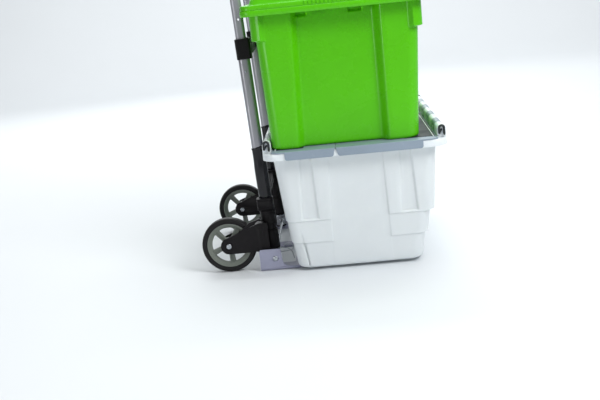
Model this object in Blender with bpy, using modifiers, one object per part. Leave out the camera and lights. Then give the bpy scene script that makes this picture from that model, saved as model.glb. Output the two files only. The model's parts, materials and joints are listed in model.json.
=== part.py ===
"""Folding hand trolley with two stacked storage boxes.

Metres. +X is forwards (the load side), +Y is the user's left, +Z is up. The origin is on the
ground, midway between the two uprights, on the line where their centre plane meets it.
"""

import math

import bmesh
import bpy
from mathutils import Matrix

# ---- driving dimensions -----------------------------------------------------------------
GAP = 0.0003                # clearance between neighbouring pieces
LEAN = 0.040                # radians that the uprights lean back
UPRIGHT_Y = 0.162           # half the spacing of the uprights
ARC_STEPS = 5               # segments in a quarter of a round outline

TUBE_X, TUBE_Y, TUBE_WALL = 0.027, 0.018, 0.0012
TUBE_FOOT, TUBE_TOP = 0.012, 0.500
INNER_X, INNER_Y, INNER_WALL = 0.0236, 0.0146, 0.0012
INNER_FOOT, INNER_TOP = 0.455, 0.972
HANDLE_TRAVEL = 0.410       # how far the inner tubes slide down into the outer ones

WHEEL_R, TYRE_WIDTH, RIM_R = 0.0635, 0.023, 0.0522
AXLE_X, AXLE_Z = -0.099, WHEEL_R
TRACK_Y = 0.179             # half the distance between the wheels' middle planes
FORK_INSIDE, FORK_WALL = 0.0145, 0.004
AXLE_R = 0.003
SPOKES = 5

BUSH_R = 0.0145             # round bearing that a wheel arm swings on
KNUCKLE_R = 0.018
KNUCKLE_LOW, KNUCKLE_HIGH = 0.0425, 0.1340
KNUCKLE_GAP = (0.0880, 0.0960)      # the slot between an arm's two rings
LOWER_BAR_LOW, LOWER_BAR_HIGH = 0.1370, 0.1630
BLOCK_HALF_X, BLOCK_HALF_Y, BLOCK_MID_X = 0.0175, 0.0140, -0.0010
SLEEVE_TOP = 0.2860
SLEEVE_X, SLEEVE_Y = 0.031, 0.022

COLLAR_LOW, COLLAR_HIGH = 0.482, 0.527
COLLAR_X, COLLAR_Y, COLLAR_MID_X = 0.0336, 0.026, 0.0020
LATCH_Z, LATCH_R = 0.507, 0.0025
BUTTON_Y, BUTTON_X, BUTTON_LOW, BUTTON_HIGH = 0.036, 0.013, 0.505, 0.521
BUTTON_SPRING_LOW = 0.4875
LOCK_HEIGHTS = (LATCH_Z, 0.569, 0.712, LATCH_Z + HANDLE_TRAVEL)

HINGE_X, HINGE_Z, HINGE_R = 0.006, 0.028, 0.003
TOE_FRONT, TOE_REAR, TOE_SHEET = 0.245, -0.030, 0.0025
TOE_HALF, TOE_NOSE_HALF = 0.2075, 0.150
CHEEK_TOP = 0.0505
TOE_RIBS, TOE_RIB_HALF, TOE_RIB_TOP = (-0.105, -0.035, 0.035, 0.105), 0.006, 0.0055
TOE_WINDOW_X, TOE_WINDOW_Y = (-0.018, 0.048), (0.022, 0.158)

CRATE_X, CRATE_HALF_X, CRATE_HALF_Y = 0.2055, 0.200, 0.285
CRATE_FLOOR, CRATE_RIM_LOW, CRATE_RIM_TOP = 0.0058, 0.2665, 0.2815
CRATE_WALL = 0.0025
LEAF_THICK = 0.0032
CRATE_CORNER_R = 0.036
SKIRT_X = {-1: 0.109, 1: 0.187}     # length of the rear and front leaf's skirts
SKIRT_NOTCH = 0.005         # a skirt's hanging part starts this far from the other leaf
CRATE_HINGE_Z, CRATE_HINGE_R, CRATE_HINGE_INSET = 0.298, 0.0095, 0.0105
CRATE_PIN_R = 0.002
KNUCKLE_INSET = 0.026       # the first knuckle starts this far in from the rim

TUB_X, TUB_HALF_X, TUB_HALF_Y = 0.1900, 0.1990, 0.284
TUB_FLOOR = CRATE_RIM_TOP + LEAF_THICK + 2 * GAP
TUB_STEP_Z, TUB_LIP_LOW, TUB_LIP_TOP, TUB_LID_TOP = 0.5215, 0.5745, 0.5875, 0.6145
TUB_WALL = 0.0025


# ---- helpers ----------------------------------------------------------------------------
def clear_scene():
    for obj in list(bpy.data.objects):
        bpy.data.objects.remove(obj)


def new_collection(name):
    made = bpy.data.collections.new(name)
    bpy.context.scene.collection.children.link(made)
    return made


def material(name, colour, roughness, metallic=0.0):
    made = bpy.data.materials.new(name)
    made.use_nodes = True
    shader = made.node_tree.nodes["Principled BSDF"]
    shader.inputs["Base Color"].default_value = (*colour, 1.0)
    shader.inputs["Roughness"].default_value = roughness
    shader.inputs["Metallic"].default_value = metallic
    return made


def weld(mesh):
    """Joins loose caps to their walls and points every face outwards."""
    bm = bmesh.new()
    bm.from_mesh(mesh)
    bmesh.ops.remove_doubles(bm, verts=bm.verts, dist=1e-6)
    bmesh.ops.recalc_face_normals(bm, faces=bm.faces)
    bm.to_mesh(mesh)
    bm.free()


def put(obj, parent=None, at=(0, 0, 0), turn=(0, 0, 0)):
    """Links obj into the trolley's collection at a place in its parent's axes."""
    TROLLEY.objects.link(obj)
    obj.parent = parent
    obj.location = at
    obj.rotation_euler = turn
    return obj


def part(name, mesh, finish, parent=None, at=(0, 0, 0), turn=(0, 0, 0)):
    obj = put(bpy.data.objects.new(name, mesh), parent, at, turn)
    obj.data.materials.clear()
    obj.data.materials.append(finish)
    obj.data.shade_smooth()
    obj.data.set_sharp_from_angle(angle=math.radians(35))
    return obj


def circle(radius, centre=(0, 0), steps=4 * ARC_STEPS, start=0.0):
    turn = 2 * math.pi / steps
    return [
        (centre[0] + radius * math.cos(start + i * turn),
         centre[1] + radius * math.sin(start + i * turn))
        for i in range(steps)
    ]


def arc(centre, radius, first_deg, last_deg, steps):
    span = math.radians(last_deg - first_deg)
    first = math.radians(first_deg)
    return [
        (centre[0] + radius * math.cos(first + span * i / steps),
         centre[1] + radius * math.sin(first + span * i / steps))
        for i in range(steps + 1)
    ]


def flat_oval(length, width, steps=7):
    """Outline of a flat-sided oval tube, long along X."""
    r, c = width / 2, (length - width) / 2
    return arc((c, 0), r, -90, 90, steps) + arc((-c, 0), r, 90, 270, steps)


def rounded_box(half_x, half_y, radius, steps=3, centre=(0, 0)):
    cx, cy = centre
    points = []
    for k, (sx, sy) in enumerate(((1, 1), (-1, 1), (-1, -1), (1, -1))):
        corner = (cx + sx * (half_x - radius), cy + sy * (half_y - radius))
        points += arc(corner, radius, 90 * k, 90 * k + 90, steps)
    return points


def outline_mesh(name, outlines, thickness):
    """A filled flat outline, with holes, extruded to both sides of its own XY plane."""
    curve = bpy.data.curves.new(name, "CURVE")
    curve.dimensions = "2D"
    curve.fill_mode = "BOTH"
    curve.extrude = thickness / 2
    for outline in outlines:
        spline = curve.splines.new("POLY")
        spline.points.add(len(outline) - 1)
        for point, (x, y) in zip(spline.points, outline):
            point.co = (x, y, 0, 1)
        spline.use_cyclic_u = True
    drawn = bpy.data.objects.new(name, curve)
    bpy.context.scene.collection.objects.link(drawn)
    bpy.context.view_layer.update()
    graph = bpy.context.evaluated_depsgraph_get()
    mesh = bpy.data.meshes.new_from_object(drawn.evaluated_get(graph))
    bpy.data.objects.remove(drawn)
    weld(mesh)
    return mesh


def upright_prism(name, outlines, low, high, finish, parent=None, at=(0, 0)):
    """An outline in the XY plane, raised from low to high."""
    mesh = outline_mesh(name, outlines, high - low)
    return part(name, mesh, finish, parent, (at[0], at[1], (low + high) / 2))


def side_plate(name, outlines, y, thickness, finish, parent=None):
    """An outline in the XZ plane, centred on y."""
    mesh = outline_mesh(name, outlines, thickness)
    return part(name, mesh, finish, parent, (0, y, 0), (math.pi / 2, 0, 0))


def box_mesh(name, low, high):
    bm = bmesh.new()
    bmesh.ops.create_cube(bm, size=1.0)
    size = [b - a for a, b in zip(low, high)]
    middle = [(a + b) / 2 for a, b in zip(low, high)]
    bm.transform(Matrix.Translation(middle) @ Matrix.Diagonal((*size, 1)))
    mesh = bpy.data.meshes.new(name)
    bm.to_mesh(mesh)
    bm.free()
    return mesh


def rod_mesh(name, radius, low, high, axis="Y", centre=(0, 0), steps=20, radius_high=None):
    """A cylinder or cone along an axis. centre holds its two other coordinates, in XYZ order."""
    bm = bmesh.new()
    bmesh.ops.create_cone(
        bm, cap_ends=True, segments=steps, radius1=radius,
        radius2=radius if radius_high is None else radius_high, depth=high - low,
    )
    bm.transform(Matrix.Translation((0, 0, (low + high) / 2)))
    if axis == "Y":
        bm.transform(Matrix.Rotation(-math.pi / 2, 4, "X"))
        bm.transform(Matrix.Translation((centre[0], 0, centre[1])))
    elif axis == "X":
        bm.transform(Matrix.Rotation(math.pi / 2, 4, "Y"))
        bm.transform(Matrix.Translation((0, centre[0], centre[1])))
    else:
        bm.transform(Matrix.Translation((centre[0], centre[1], 0)))
    mesh = bpy.data.meshes.new(name)
    bm.to_mesh(mesh)
    bm.free()
    return mesh


def turned(name, profile, finish, parent=None, at=(0, 0, 0), steps=36):
    """A closed profile of (radius, height), clockwise in that plane, turned about Y."""
    mesh = bpy.data.meshes.new(name)
    count = len(profile)
    edges = [(i, (i + 1) % count) for i in range(count)]
    mesh.from_pydata([(r, 0, h) for r, h in profile], edges, [])
    obj = put(bpy.data.objects.new(name, mesh), parent, at, (math.pi / 2, 0, 0))
    screw = obj.modifiers.new("turn", "SCREW")
    screw.axis = "Z"
    screw.angle = 2 * math.pi
    screw.steps = screw.render_steps = steps
    screw.use_merge_vertices = True
    screw.merge_threshold = 0.00005
    screw.use_smooth_shade = True
    obj.data.materials.append(finish)
    return obj


def wire(name, points, radius, finish, parent=None, at=(0, 0, 0)):
    curve = bpy.data.curves.new(name, "CURVE")
    curve.dimensions = "3D"
    curve.bevel_depth = radius
    curve.bevel_resolution = 2
    curve.use_fill_caps = True
    spline = curve.splines.new("POLY")
    spline.points.add(len(points) - 1)
    for point, co in zip(spline.points, points):
        point.co = (*co, 1)
    curve.materials.append(finish)
    return put(bpy.data.objects.new(name, curve), parent, at)


def helper(name, mesh, parent=None, at=(0, 0, 0), turn=(0, 0, 0)):
    """A hidden operand of a Boolean."""
    obj = bpy.data.objects.new(name, mesh)
    CUTTERS.objects.link(obj)
    obj.parent = parent
    obj.location = at
    obj.rotation_euler = turn
    obj.hide_render = True
    obj.display_type = "WIRE"
    return obj


def boolean(obj, operation, other):
    modifier = obj.modifiers.new(other.name, "BOOLEAN")
    modifier.operation = operation
    modifier.solver = "EXACT"
    modifier.object = other
    return obj


def cut(obj, mesh, parent=None, at=(0, 0, 0), turn=(0, 0, 0)):
    return boolean(obj, "DIFFERENCE", helper(f"cut_{obj.name}", mesh, parent, at, turn))


def join(obj, mesh, parent=None, at=(0, 0, 0), turn=(0, 0, 0)):
    return boolean(obj, "UNION", helper(f"join_{obj.name}", mesh, parent, at, turn))


def soften(obj, width, angle_deg=40, segments=1):
    bevel = obj.modifiers.new("soft_edges", "BEVEL")
    bevel.width = width
    bevel.segments = segments
    bevel.limit_method = "ANGLE"
    bevel.angle_limit = math.radians(angle_deg)
    return obj


def loft(name, sections, finish, parent=None, steps=3):
    """Skins a stack of rounded rectangles, in order, and caps the first and the last one.

    A section is (z, half_x, half_y, corner radius) about the Z axis of the parent, with a shift
    along X if it has one. A stack that goes down the inside and up the outside makes a shell.
    """
    bm = bmesh.new()
    rings = []
    for z, half_x, half_y, radius, *shift in sections:
        outline = rounded_box(half_x, half_y, radius, steps, (sum(shift), 0))
        rings.append([bm.verts.new((x, y, z)) for x, y in outline])
    for first, second in zip(rings, rings[1:]):
        for i in range(len(first)):
            bm.faces.new((first[i - 1], first[i], second[i], second[i - 1]))
    bm.faces.new(rings[0])
    bm.faces.new(rings[-1])
    bmesh.ops.recalc_face_normals(bm, faces=bm.faces)
    mesh = bpy.data.meshes.new(name)
    bm.to_mesh(mesh)
    bm.free()
    return part(name, mesh, finish, parent)


def empty(name, at=(0, 0, 0), turn=(0, 0, 0)):
    obj = bpy.data.objects.new(name, None)
    return put(obj, None, at, turn)


def lean_point(x, z):
    """A world point of the XZ plane, in the axes that lean with the uprights."""
    c, s = math.cos(LEAN), math.sin(LEAN)
    return x * c + z * s, -x * s + z * c


def upright_point(x, z):
    """World place of a point on the middle plane, given in the axes that lean."""
    c, s = math.cos(LEAN), math.sin(LEAN)
    return x * c - z * s, 0, x * s + z * c


# ---- the uprights and what is fixed to them ---------------------------------------------
def make_outer_tube(side_name, side):
    outlines = [
        flat_oval(TUBE_X, TUBE_Y),
        flat_oval(TUBE_X - 2 * TUBE_WALL, TUBE_Y - 2 * TUBE_WALL),
    ]
    y = side * UPRIGHT_Y
    tube = upright_prism(f"outer_tube_{side_name}", outlines, TUBE_FOOT, TUBE_TOP, ALUMINIUM,
                         LEANING, (0, y))
    drill = rod_mesh("hinge_hole", HINGE_R + GAP, y - TUBE_Y, y + TUBE_Y, "Y", (HINGE_X, HINGE_Z))
    cut(tube, drill, LEANING)


def make_foot_plug(side_name, side):
    y = side * UPRIGHT_Y
    spigot = flat_oval(TUBE_X - 2 * TUBE_WALL - 2 * GAP, TUBE_Y - 2 * TUBE_WALL - 2 * GAP)
    plug = upright_prism(f"foot_plug_{side_name}", [spigot], 0.0100, 0.040, BLACK_PLASTIC,
                         LEANING, (0, y))
    flange_low = 0.0085
    flange = outline_mesh("flange", [flat_oval(TUBE_X, TUBE_Y)], TUBE_FOOT - GAP - flange_low)
    join(plug, flange, LEANING, (0, y, (flange_low + TUBE_FOOT - GAP) / 2))
    drill = rod_mesh("hinge_hole", HINGE_R + GAP, y - TUBE_Y, y + TUBE_Y, "Y", (HINGE_X, HINGE_Z))
    cut(plug, drill, LEANING)


def make_sleeve(side_name, side):
    outlines = [
        flat_oval(SLEEVE_X, SLEEVE_Y),
        flat_oval(TUBE_X + 2 * GAP, TUBE_Y + 2 * GAP),
    ]
    upright_prism(f"lower_sleeve_{side_name}", outlines, LOWER_BAR_HIGH + GAP, SLEEVE_TOP,
                  GLOSS_BLACK, LEANING, (0, side * UPRIGHT_Y))


def make_pivot_bush(side_name, side):
    bore = flat_oval(TUBE_X + 2 * GAP, TUBE_Y + 2 * GAP)
    place = (0, side * UPRIGHT_Y)
    upright_prism(f"pivot_bush_{side_name}", [circle(BUSH_R), bore],
                  KNUCKLE_LOW - 0.001, LOWER_BAR_LOW - GAP, BLACK_PLASTIC, LEANING, place)
    upright_prism(f"thrust_washer_{side_name}", [circle(KNUCKLE_R), bore],
                  KNUCKLE_LOW - 0.0040, KNUCKLE_LOW - 0.0013, ZINC, LEANING, place)


def make_lower_crossbar():
    """Two clamp blocks round the uprights, joined by a bar just above the folded wheels."""
    height = LOWER_BAR_HIGH - LOWER_BAR_LOW
    middle = (LOWER_BAR_HIGH + LOWER_BAR_LOW) / 2
    bar = part("lower_crossbar",
               box_mesh("bar", (-0.021, -UPRIGHT_Y, 0.141), (-0.003, UPRIGHT_Y, 0.159)),
               BLACK_PLASTIC, LEANING)
    block = rounded_box(BLOCK_HALF_X, BLOCK_HALF_Y, 0.006, centre=(BLOCK_MID_X, 0))
    for side in (-1, 1):
        place = (0, side * UPRIGHT_Y, middle)
        join(bar, outline_mesh("block", [block], height), LEANING, place)
    for side in (-1, 1):
        hole = outline_mesh("hole", [flat_oval(TUBE_X + 2 * GAP, TUBE_Y + 2 * GAP)], 2 * height)
        cut(bar, hole, LEANING, (0, side * UPRIGHT_Y, middle))


def make_collar(side_name, side):
    """Cap at an outer tube's top: wide round that tube, and close round the inner tube above."""
    y = side * UPRIGHT_Y
    outer = rounded_box(COLLAR_X / 2, COLLAR_Y / 2, 0.005, centre=(COLLAR_MID_X, 0))
    collar = upright_prism(
        f"top_collar_{side_name}",
        [outer, flat_oval(INNER_X + 2 * GAP, INNER_Y + 2 * GAP)],
        COLLAR_LOW, COLLAR_HIGH, BLACK_PLASTIC, LEANING, (0, y))
    seat = outline_mesh("seat", [flat_oval(TUBE_X + 2 * GAP, TUBE_Y + 2 * GAP)], 0.040)
    cut(collar, seat, LEANING, (0, y, TUBE_TOP + GAP - 0.020))
    ends = sorted((y - side * COLLAR_Y, y - side * 0.002))
    cut(collar, rod_mesh("latch_hole", LATCH_R + GAP, *ends, "Y", (0, LATCH_Z), 12), LEANING)


def make_upper_crossbar():
    """Hollow bar between the collars. It holds the release button and the two latch rods."""
    end = UPRIGHT_Y - COLLAR_Y / 2 - GAP
    bar = part("upper_crossbar", box_mesh("bar", (-0.0105, -end, 0.484), (0.0105, end, 0.5145)),
               BLACK_PLASTIC, LEANING)
    soften(bar, 0.002)
    cut(bar, box_mesh("channel", (-0.0032, -end - 0.01, LATCH_Z - 0.0032),
                      (0.0032, end + 0.01, LATCH_Z + 0.0032)), LEANING)
    cut(bar, box_mesh("pocket", (-BUTTON_X / 2 - GAP, -BUTTON_Y / 2 - GAP, BUTTON_SPRING_LOW - GAP),
                      (BUTTON_X / 2 + GAP, BUTTON_Y / 2 + GAP, 0.530)), LEANING)


def make_release():
    button = part("release_button",
                  box_mesh("button", (-BUTTON_X / 2, -BUTTON_Y / 2, BUTTON_LOW),
                           (BUTTON_X / 2, BUTTON_Y / 2, BUTTON_HIGH)), DARK_GREY, LEANING)
    soften(button, 0.0015)
    turns, per_turn, mean_r, wire_r = 3, 8, 0.0042, 0.0005
    low, high = BUTTON_SPRING_LOW + wire_r, BUTTON_LOW - GAP - wire_r
    count = turns * per_turn
    points = [
        (mean_r * math.cos(2 * math.pi * i / per_turn),
         mean_r * math.sin(2 * math.pi * i / per_turn),
         low + (high - low) * i / count)
        for i in range(count + 1)
    ]
    wire("button_spring", points, wire_r, ZINC, LEANING)
    for side_name, side in SIDES:
        tip = side * (UPRIGHT_Y - INNER_Y / 2 - GAP)
        root = side * (BUTTON_Y / 2 + 0.006)
        part(f"latch_rod_{side_name}",
             rod_mesh("rod", LATCH_R, *sorted((tip, root)), "Y", (0, LATCH_Z), 12),
             ZINC, LEANING)


def make_stop_rivet(side_name, side):
    """Head of the rivet that stops the inner tube, on the outer face of the outer tube."""
    face = side * (UPRIGHT_Y + TUBE_Y / 2 + GAP)
    ends = sorted((face, face + side * 0.0014))
    radii = (0.0028, 0.0018) if side > 0 else (0.0018, 0.0028)
    head = rod_mesh("stop", radii[0], *ends, "Y", (0, 0.455), 14, radii[1])
    part(f"tube_stop_rivet_{side_name}", head, ZINC, LEANING)


# ---- the telescopic handle --------------------------------------------------------------
def make_inner_tube(side_name, side):
    outlines = [
        flat_oval(INNER_X, INNER_Y),
        flat_oval(INNER_X - 2 * INNER_WALL, INNER_Y - 2 * INNER_WALL),
    ]
    y = side * UPRIGHT_Y
    tube = upright_prism(f"inner_tube_{side_name}", outlines, INNER_FOOT, INNER_TOP, ALUMINIUM,
                         LEANING, (0, y))
    for height in LOCK_HEIGHTS:
        drill = rod_mesh("lock_hole", LATCH_R + GAP, y - INNER_Y, y + INNER_Y, "Y", (0, height), 12)
        cut(tube, drill, LEANING)
    spigot = flat_oval(INNER_X - 2 * INNER_WALL - 2 * GAP, INNER_Y - 2 * INNER_WALL - 2 * GAP)
    plug = upright_prism(f"inner_tube_plug_{side_name}", [spigot], 0.4530, 0.4680,
                         BLACK_PLASTIC, LEANING, (0, y))
    flange = outline_mesh("flange", [flat_oval(INNER_X + 2 * GAP, INNER_Y + 2 * GAP)], 0.0032)
    join(plug, flange, LEANING, (0, y, INNER_FOOT - GAP - 0.0016))


def make_handle():
    """Grip bar across the top, with a plastic elbow on each inner tube."""
    bend_r, elbow_r, bar_r = 0.022, 0.0125, 0.0085
    bar_z = 0.998
    for side_name, side in SIDES:
        corner = (side * (UPRIGHT_Y - bend_r), bar_z - bend_r)
        bend = arc(corner, bend_r, 0, 90, 6) if side > 0 else arc(corner, bend_r, 180, 90, 6)
        path = [(0, side * UPRIGHT_Y, 0.950)] + [(0, y, z) for y, z in bend]
        path.append((0, side * 0.118, bar_z))
        drawn = wire("elbow", path, elbow_r, BLACK_PLASTIC, LEANING)
        bpy.context.view_layer.update()
        graph = bpy.context.evaluated_depsgraph_get()
        mesh = bpy.data.meshes.new_from_object(drawn.evaluated_get(graph))
        bpy.data.objects.remove(drawn)
        weld(mesh)
        elbow = part(f"handle_elbow_{side_name}", mesh, BLACK_PLASTIC, LEANING)
        socket = outline_mesh("socket", [flat_oval(INNER_X + 2 * GAP, INNER_Y + 2 * GAP)], 0.050)
        cut(elbow, socket, LEANING, (0, side * UPRIGHT_Y, INNER_TOP + GAP - 0.025))
        ends = sorted((side * 0.100, side * 0.1320))
        cut(elbow, rod_mesh("bore", bar_r + GAP, *ends, "Y", (0, bar_z)), LEANING)
    part("handle_bar", rod_mesh("bar", bar_r, -0.1315, 0.1315, "Y", (0, bar_z)), ALUMINIUM,
         LEANING)
    grip = outline_mesh("grip", [circle(elbow_r), circle(bar_r + GAP)], 0.2350)
    part("handle_grip", grip, RUBBER, LEANING, (0, 0, bar_z), (math.pi / 2, 0, 0))


# ---- the toe plate and its hinge --------------------------------------------------------
def make_toe_plate():
    sheet_half = TOE_HALF - TOE_SHEET / 2
    taper_x, corner_r = 0.105, 0.020
    nose = (TOE_FRONT - corner_r, TOE_NOSE_HALF - corner_r)
    right_side = [
        (TOE_REAR, -sheet_half), (taper_x, -sheet_half), (nose[0] - 0.008, -TOE_NOSE_HALF - 0.004)
    ] + arc((nose[0], -nose[1]), corner_r, -80, 0, 4)
    outline = right_side + [(x, -y) for x, y in reversed(right_side)]
    plate = upright_prism("toe_plate", [outline], 0.0, TOE_SHEET, GREY_PAINT, HINGE_WORLD)
    plate.location.x -= HINGE_WORLD.location.x
    plate.location.z -= HINGE_WORLD.location.z
    rear, front = TOE_WINDOW_X
    for y in TOE_RIBS:
        rib = box_mesh("rib", (front + 0.007, y - TOE_RIB_HALF, TOE_SHEET / 2),
                       (TOE_FRONT - 0.023, y + TOE_RIB_HALF, TOE_RIB_TOP))
        join(plate, rib)
    for side in (-1, 1):
        low, high = sorted(side * edge for edge in TOE_WINDOW_Y)
        window_box = box_mesh("window", (rear, low, -TOE_SHEET), (front, high, 2 * TOE_SHEET))
        cut(plate, window_box)
    cheek = [
        (TOE_REAR, 0.0), (0.0600, 0.0), (0.0585, 0.0080), (0.0310, 0.0090), (0.0225, 0.0140),
        (0.0200, 0.0250), (0.0190, CHEEK_TOP - 0.003), (0.0165, CHEEK_TOP),
        (-0.0285, CHEEK_TOP - 0.001), (-0.0310, CHEEK_TOP - 0.004),
    ]
    hinge = HINGE_WORLD.location
    hole = circle(HINGE_R + GAP, (hinge.x, hinge.z), 16)
    for side in (-1, 1):
        y = side * (TOE_HALF - TOE_SHEET / 2)
        join(plate, outline_mesh("cheek", [cheek, hole], TOE_SHEET), None, (0, y, 0),
             (math.pi / 2, 0, 0))


def make_hinge():
    reach = TOE_HALF + 2 * GAP
    shaft = part("hinge_shaft", rod_mesh("shaft", HINGE_R, -reach, reach, "Y", (HINGE_X, HINGE_Z)),
                 ZINC, LEANING)
    for side in (-1, 1):
        ends = sorted((side * (TOE_HALF + GAP), side * (TOE_HALF + 0.0028)))
        radii = (0.0062, 0.0040) if side > 0 else (0.0040, 0.0062)
        head = rod_mesh("head", radii[0], *ends, "Y", (HINGE_X, HINGE_Z), 20, radii[1])
        join(shaft, head, LEANING)
    for side_name, side in SIDES:
        near, far = UPRIGHT_Y + TUBE_Y / 2 + GAP, TOE_HALF - TOE_SHEET - GAP
        length, y = far - near, side * (near + far) / 2
        ring = outline_mesh("spacer", [circle(0.0062), circle(HINGE_R + GAP)], length)
        part(f"hinge_spacer_{side_name}", ring, BLACK_PLASTIC, LEANING, (HINGE_X, y, HINGE_Z),
             (math.pi / 2, 0, 0))


def make_torsion_spring(side_name, side):
    """Coil round the hinge shaft, with a leg to the toe plate's edge and a hairpin loop."""
    wire_r, coil_r, turns, per_turn = 0.0010, 0.0068, 4.5, 8
    first_y, pitch = 0.1420, 0.0022
    hinge = HINGE_WORLD.location
    count = int(turns * per_turn)
    last_y = first_y - pitch * turns
    leg = [(0.0440, 0.0060), (0.0425, 0.0200), (0.0330, 0.0310), (0.0180, 0.0350)]
    points = [(x, side * first_y, z) for x, z in leg]
    for i in range(count + 1):
        angle = math.pi / 2 + 2 * math.pi * i / per_turn
        y = side * (first_y - pitch * i / per_turn)
        points.append((hinge.x + coil_r * math.cos(angle), y, hinge.z + coil_r * math.sin(angle)))
    loop_x, loop_z, loop_r = 0.0360, 0.0310, 0.0075
    points.append((hinge.x + 0.009, side * last_y, hinge.z - coil_r))
    points += [(x, side * last_y, z) for x, z in arc((loop_x, loop_z), loop_r, -90, 90, 6)]
    points += [(0.0240, side * last_y, loop_z + loop_r), (0.0205, side * last_y, loop_z)]
    wire(f"torsion_spring_{side_name}", points, wire_r, ZINC)


# ---- wheels and the arms that carry them ------------------------------------------------
def make_wheel_arm(side_name, side):
    """A fork round the wheel, on a knuckle that swings about the upright's bush."""
    axle = lean_point(AXLE_X, AXLE_Z)
    boss_r = 0.019
    outline = arc(axle, boss_r, 110, 266, 10) + [
        (-0.060, 0.0470), (-0.004, 0.0460), (-0.002, 0.1110), (-0.022, 0.1130)
    ]
    bolt_hole = circle(AXLE_R + GAP, axle, 12)
    wheel_plane = TRACK_Y - UPRIGHT_Y
    outer_y = wheel_plane + FORK_INSIDE + FORK_WALL / 2
    inner_y = wheel_plane - FORK_INSIDE - FORK_WALL / 2
    pivot = (0, side * UPRIGHT_Y, 0)
    arm = side_plate(f"wheel_arm_{side_name}", [outline, bolt_hole], side * (UPRIGHT_Y + outer_y),
                     FORK_WALL, BLACK_PLASTIC, LEANING)
    inner = outline_mesh("inner_plate", [outline, bolt_hole], FORK_WALL)
    join(arm, inner, LEANING, (0, side * (UPRIGHT_Y + inner_y), 0), (math.pi / 2, 0, 0))
    span = sorted((side * (inner_y - FORK_WALL / 2 + 0.0004), side * (outer_y + 0.0012)))
    bridge = box_mesh("bridge", (-0.0310, span[0], 0.0475), (-0.0105, span[1], 0.1105))
    join(arm, bridge, LEANING, pivot)
    slot_low, slot_high = KNUCKLE_GAP
    for low, high in ((KNUCKLE_LOW, slot_low), (slot_high, KNUCKLE_HIGH)):
        ring = rod_mesh("ring", KNUCKLE_R, low, high, "Z", (0, 0), 28)
        join(arm, ring, LEANING, pivot)
    bore = rod_mesh("bore", BUSH_R + GAP, KNUCKLE_LOW - 0.01, KNUCKLE_HIGH + 0.01, "Z", (0, 0), 28)
    cut(arm, bore, LEANING, pivot)


def make_axle(side_name, side):
    x, z = lean_point(AXLE_X, AXLE_Z)
    outer = TRACK_Y + FORK_INSIDE + FORK_WALL + GAP
    inner = TRACK_Y - FORK_INSIDE - FORK_WALL - GAP
    ends = sorted((side * (inner - 0.0062), side * (outer + 0.001)))
    bolt = part(f"axle_bolt_{side_name}", rod_mesh("bolt", AXLE_R, *ends, "Y", (x, z)), ZINC,
                LEANING)
    head_ends = sorted((side * outer, side * (outer + 0.0036)))
    radii = (0.0062, 0.0048) if side > 0 else (0.0048, 0.0062)
    head = rod_mesh("head", radii[0], *head_ends, "Y", (x, z), 20, radii[1])
    join(bolt, head, LEANING)
    nut_y = side * (inner - 0.0026)
    nut = outline_mesh("nut", [circle(0.0058, steps=6), circle(AXLE_R + GAP, steps=16)], 0.0052)
    part(f"axle_nut_{side_name}", nut, ZINC, LEANING, (x, nut_y, z), (math.pi / 2, 0, 0))


def window(first_deg, last_deg, r_in, r_out):
    outer = arc((0, 0), r_out, first_deg, last_deg, 5)
    inner = arc((0, 0), r_in, last_deg - 9, first_deg + 9, 2)
    return outer + inner


def make_wheel(side_name, side):
    at = (AXLE_X, side * TRACK_Y, AXLE_Z)
    half = TYRE_WIDTH / 2
    tread = [
        (RIM_R + GAP, half * 0.80), (WHEEL_R - 0.0045, half), (WHEEL_R - 0.0012, half * 0.72),
        (WHEEL_R, half * 0.35), (WHEEL_R, -half * 0.35), (WHEEL_R - 0.0012, -half * 0.72),
        (WHEEL_R - 0.0045, -half), (RIM_R + GAP, -half * 0.80),
    ]
    turned(f"tyre_{side_name}", tread, RUBBER, None, at)
    rim = [(0.0395, half - 0.001), (RIM_R, half - 0.001), (RIM_R, 0.001 - half), (0.0395, 0.001 - half)]
    hub = turned(f"wheel_hub_{side_name}", rim, GREY_PLASTIC, None, at)
    step, half_spoke = 360 / SPOKES, 9.0
    windows = [
        window(step * k + half_spoke + 131, step * (k + 1) - half_spoke + 131, 0.0185, 0.0385)
        for k in range(SPOKES)
    ]
    bore_r = 0.0078
    disc = outline_mesh("disc", [circle(0.0420, steps=40), circle(bore_r), *windows], 0.012)
    join(hub, disc, None, at, (math.pi / 2, 0, 0))
    boss = outline_mesh("boss", [circle(0.0140), circle(bore_r)], 0.0210)
    join(hub, boss, None, at, (math.pi / 2, 0, 0))
    bush = outline_mesh("bush", [circle(bore_r - GAP), circle(AXLE_R + GAP)],
                        2 * (FORK_INSIDE - GAP))
    part(f"wheel_bush_{side_name}", bush, ZINC, None, at, (math.pi / 2, 0, 0))


# ---- the lower box: a crate with two hinged leaves ---------------------------------------
def crate_knuckles(lid):
    """Low and high Y of each hinge knuckle on the crate, or on its lid leaf."""
    count, length = 9, 2 * (CRATE_HALF_Y - KNUCKLE_INSET)
    pitch = length / count
    first = -length / 2
    return [
        (first + i * pitch + GAP, first + (i + 1) * pitch - GAP)
        for i in range(count) if (i % 2 == 1) == lid
    ]


def knuckle_mesh(axis_x, low, high, foot_z):
    """An arch over the hinge pin: round on top, square down to foot_z, with a pin hole."""
    r = CRATE_HINGE_R
    outline = arc((axis_x, CRATE_HINGE_Z), r, 0, 180, 6)
    outline += [(axis_x - r, foot_z), (axis_x + r, foot_z)]
    hole = circle(CRATE_PIN_R + GAP, (axis_x, CRATE_HINGE_Z), 8)
    mesh = outline_mesh("knuckle", [outline, hole], high - low)
    mesh.transform(Matrix.Rotation(math.pi / 2, 4, "X"))
    mesh.transform(Matrix.Translation((0, (low + high) / 2, 0)))
    return mesh


def crate_axis(end):
    """X of a leaf's hinge pin. end is -1 for the rear leaf and 1 for the front one."""
    return CRATE_X + end * (CRATE_HALF_X - CRATE_HINGE_INSET)


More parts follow.
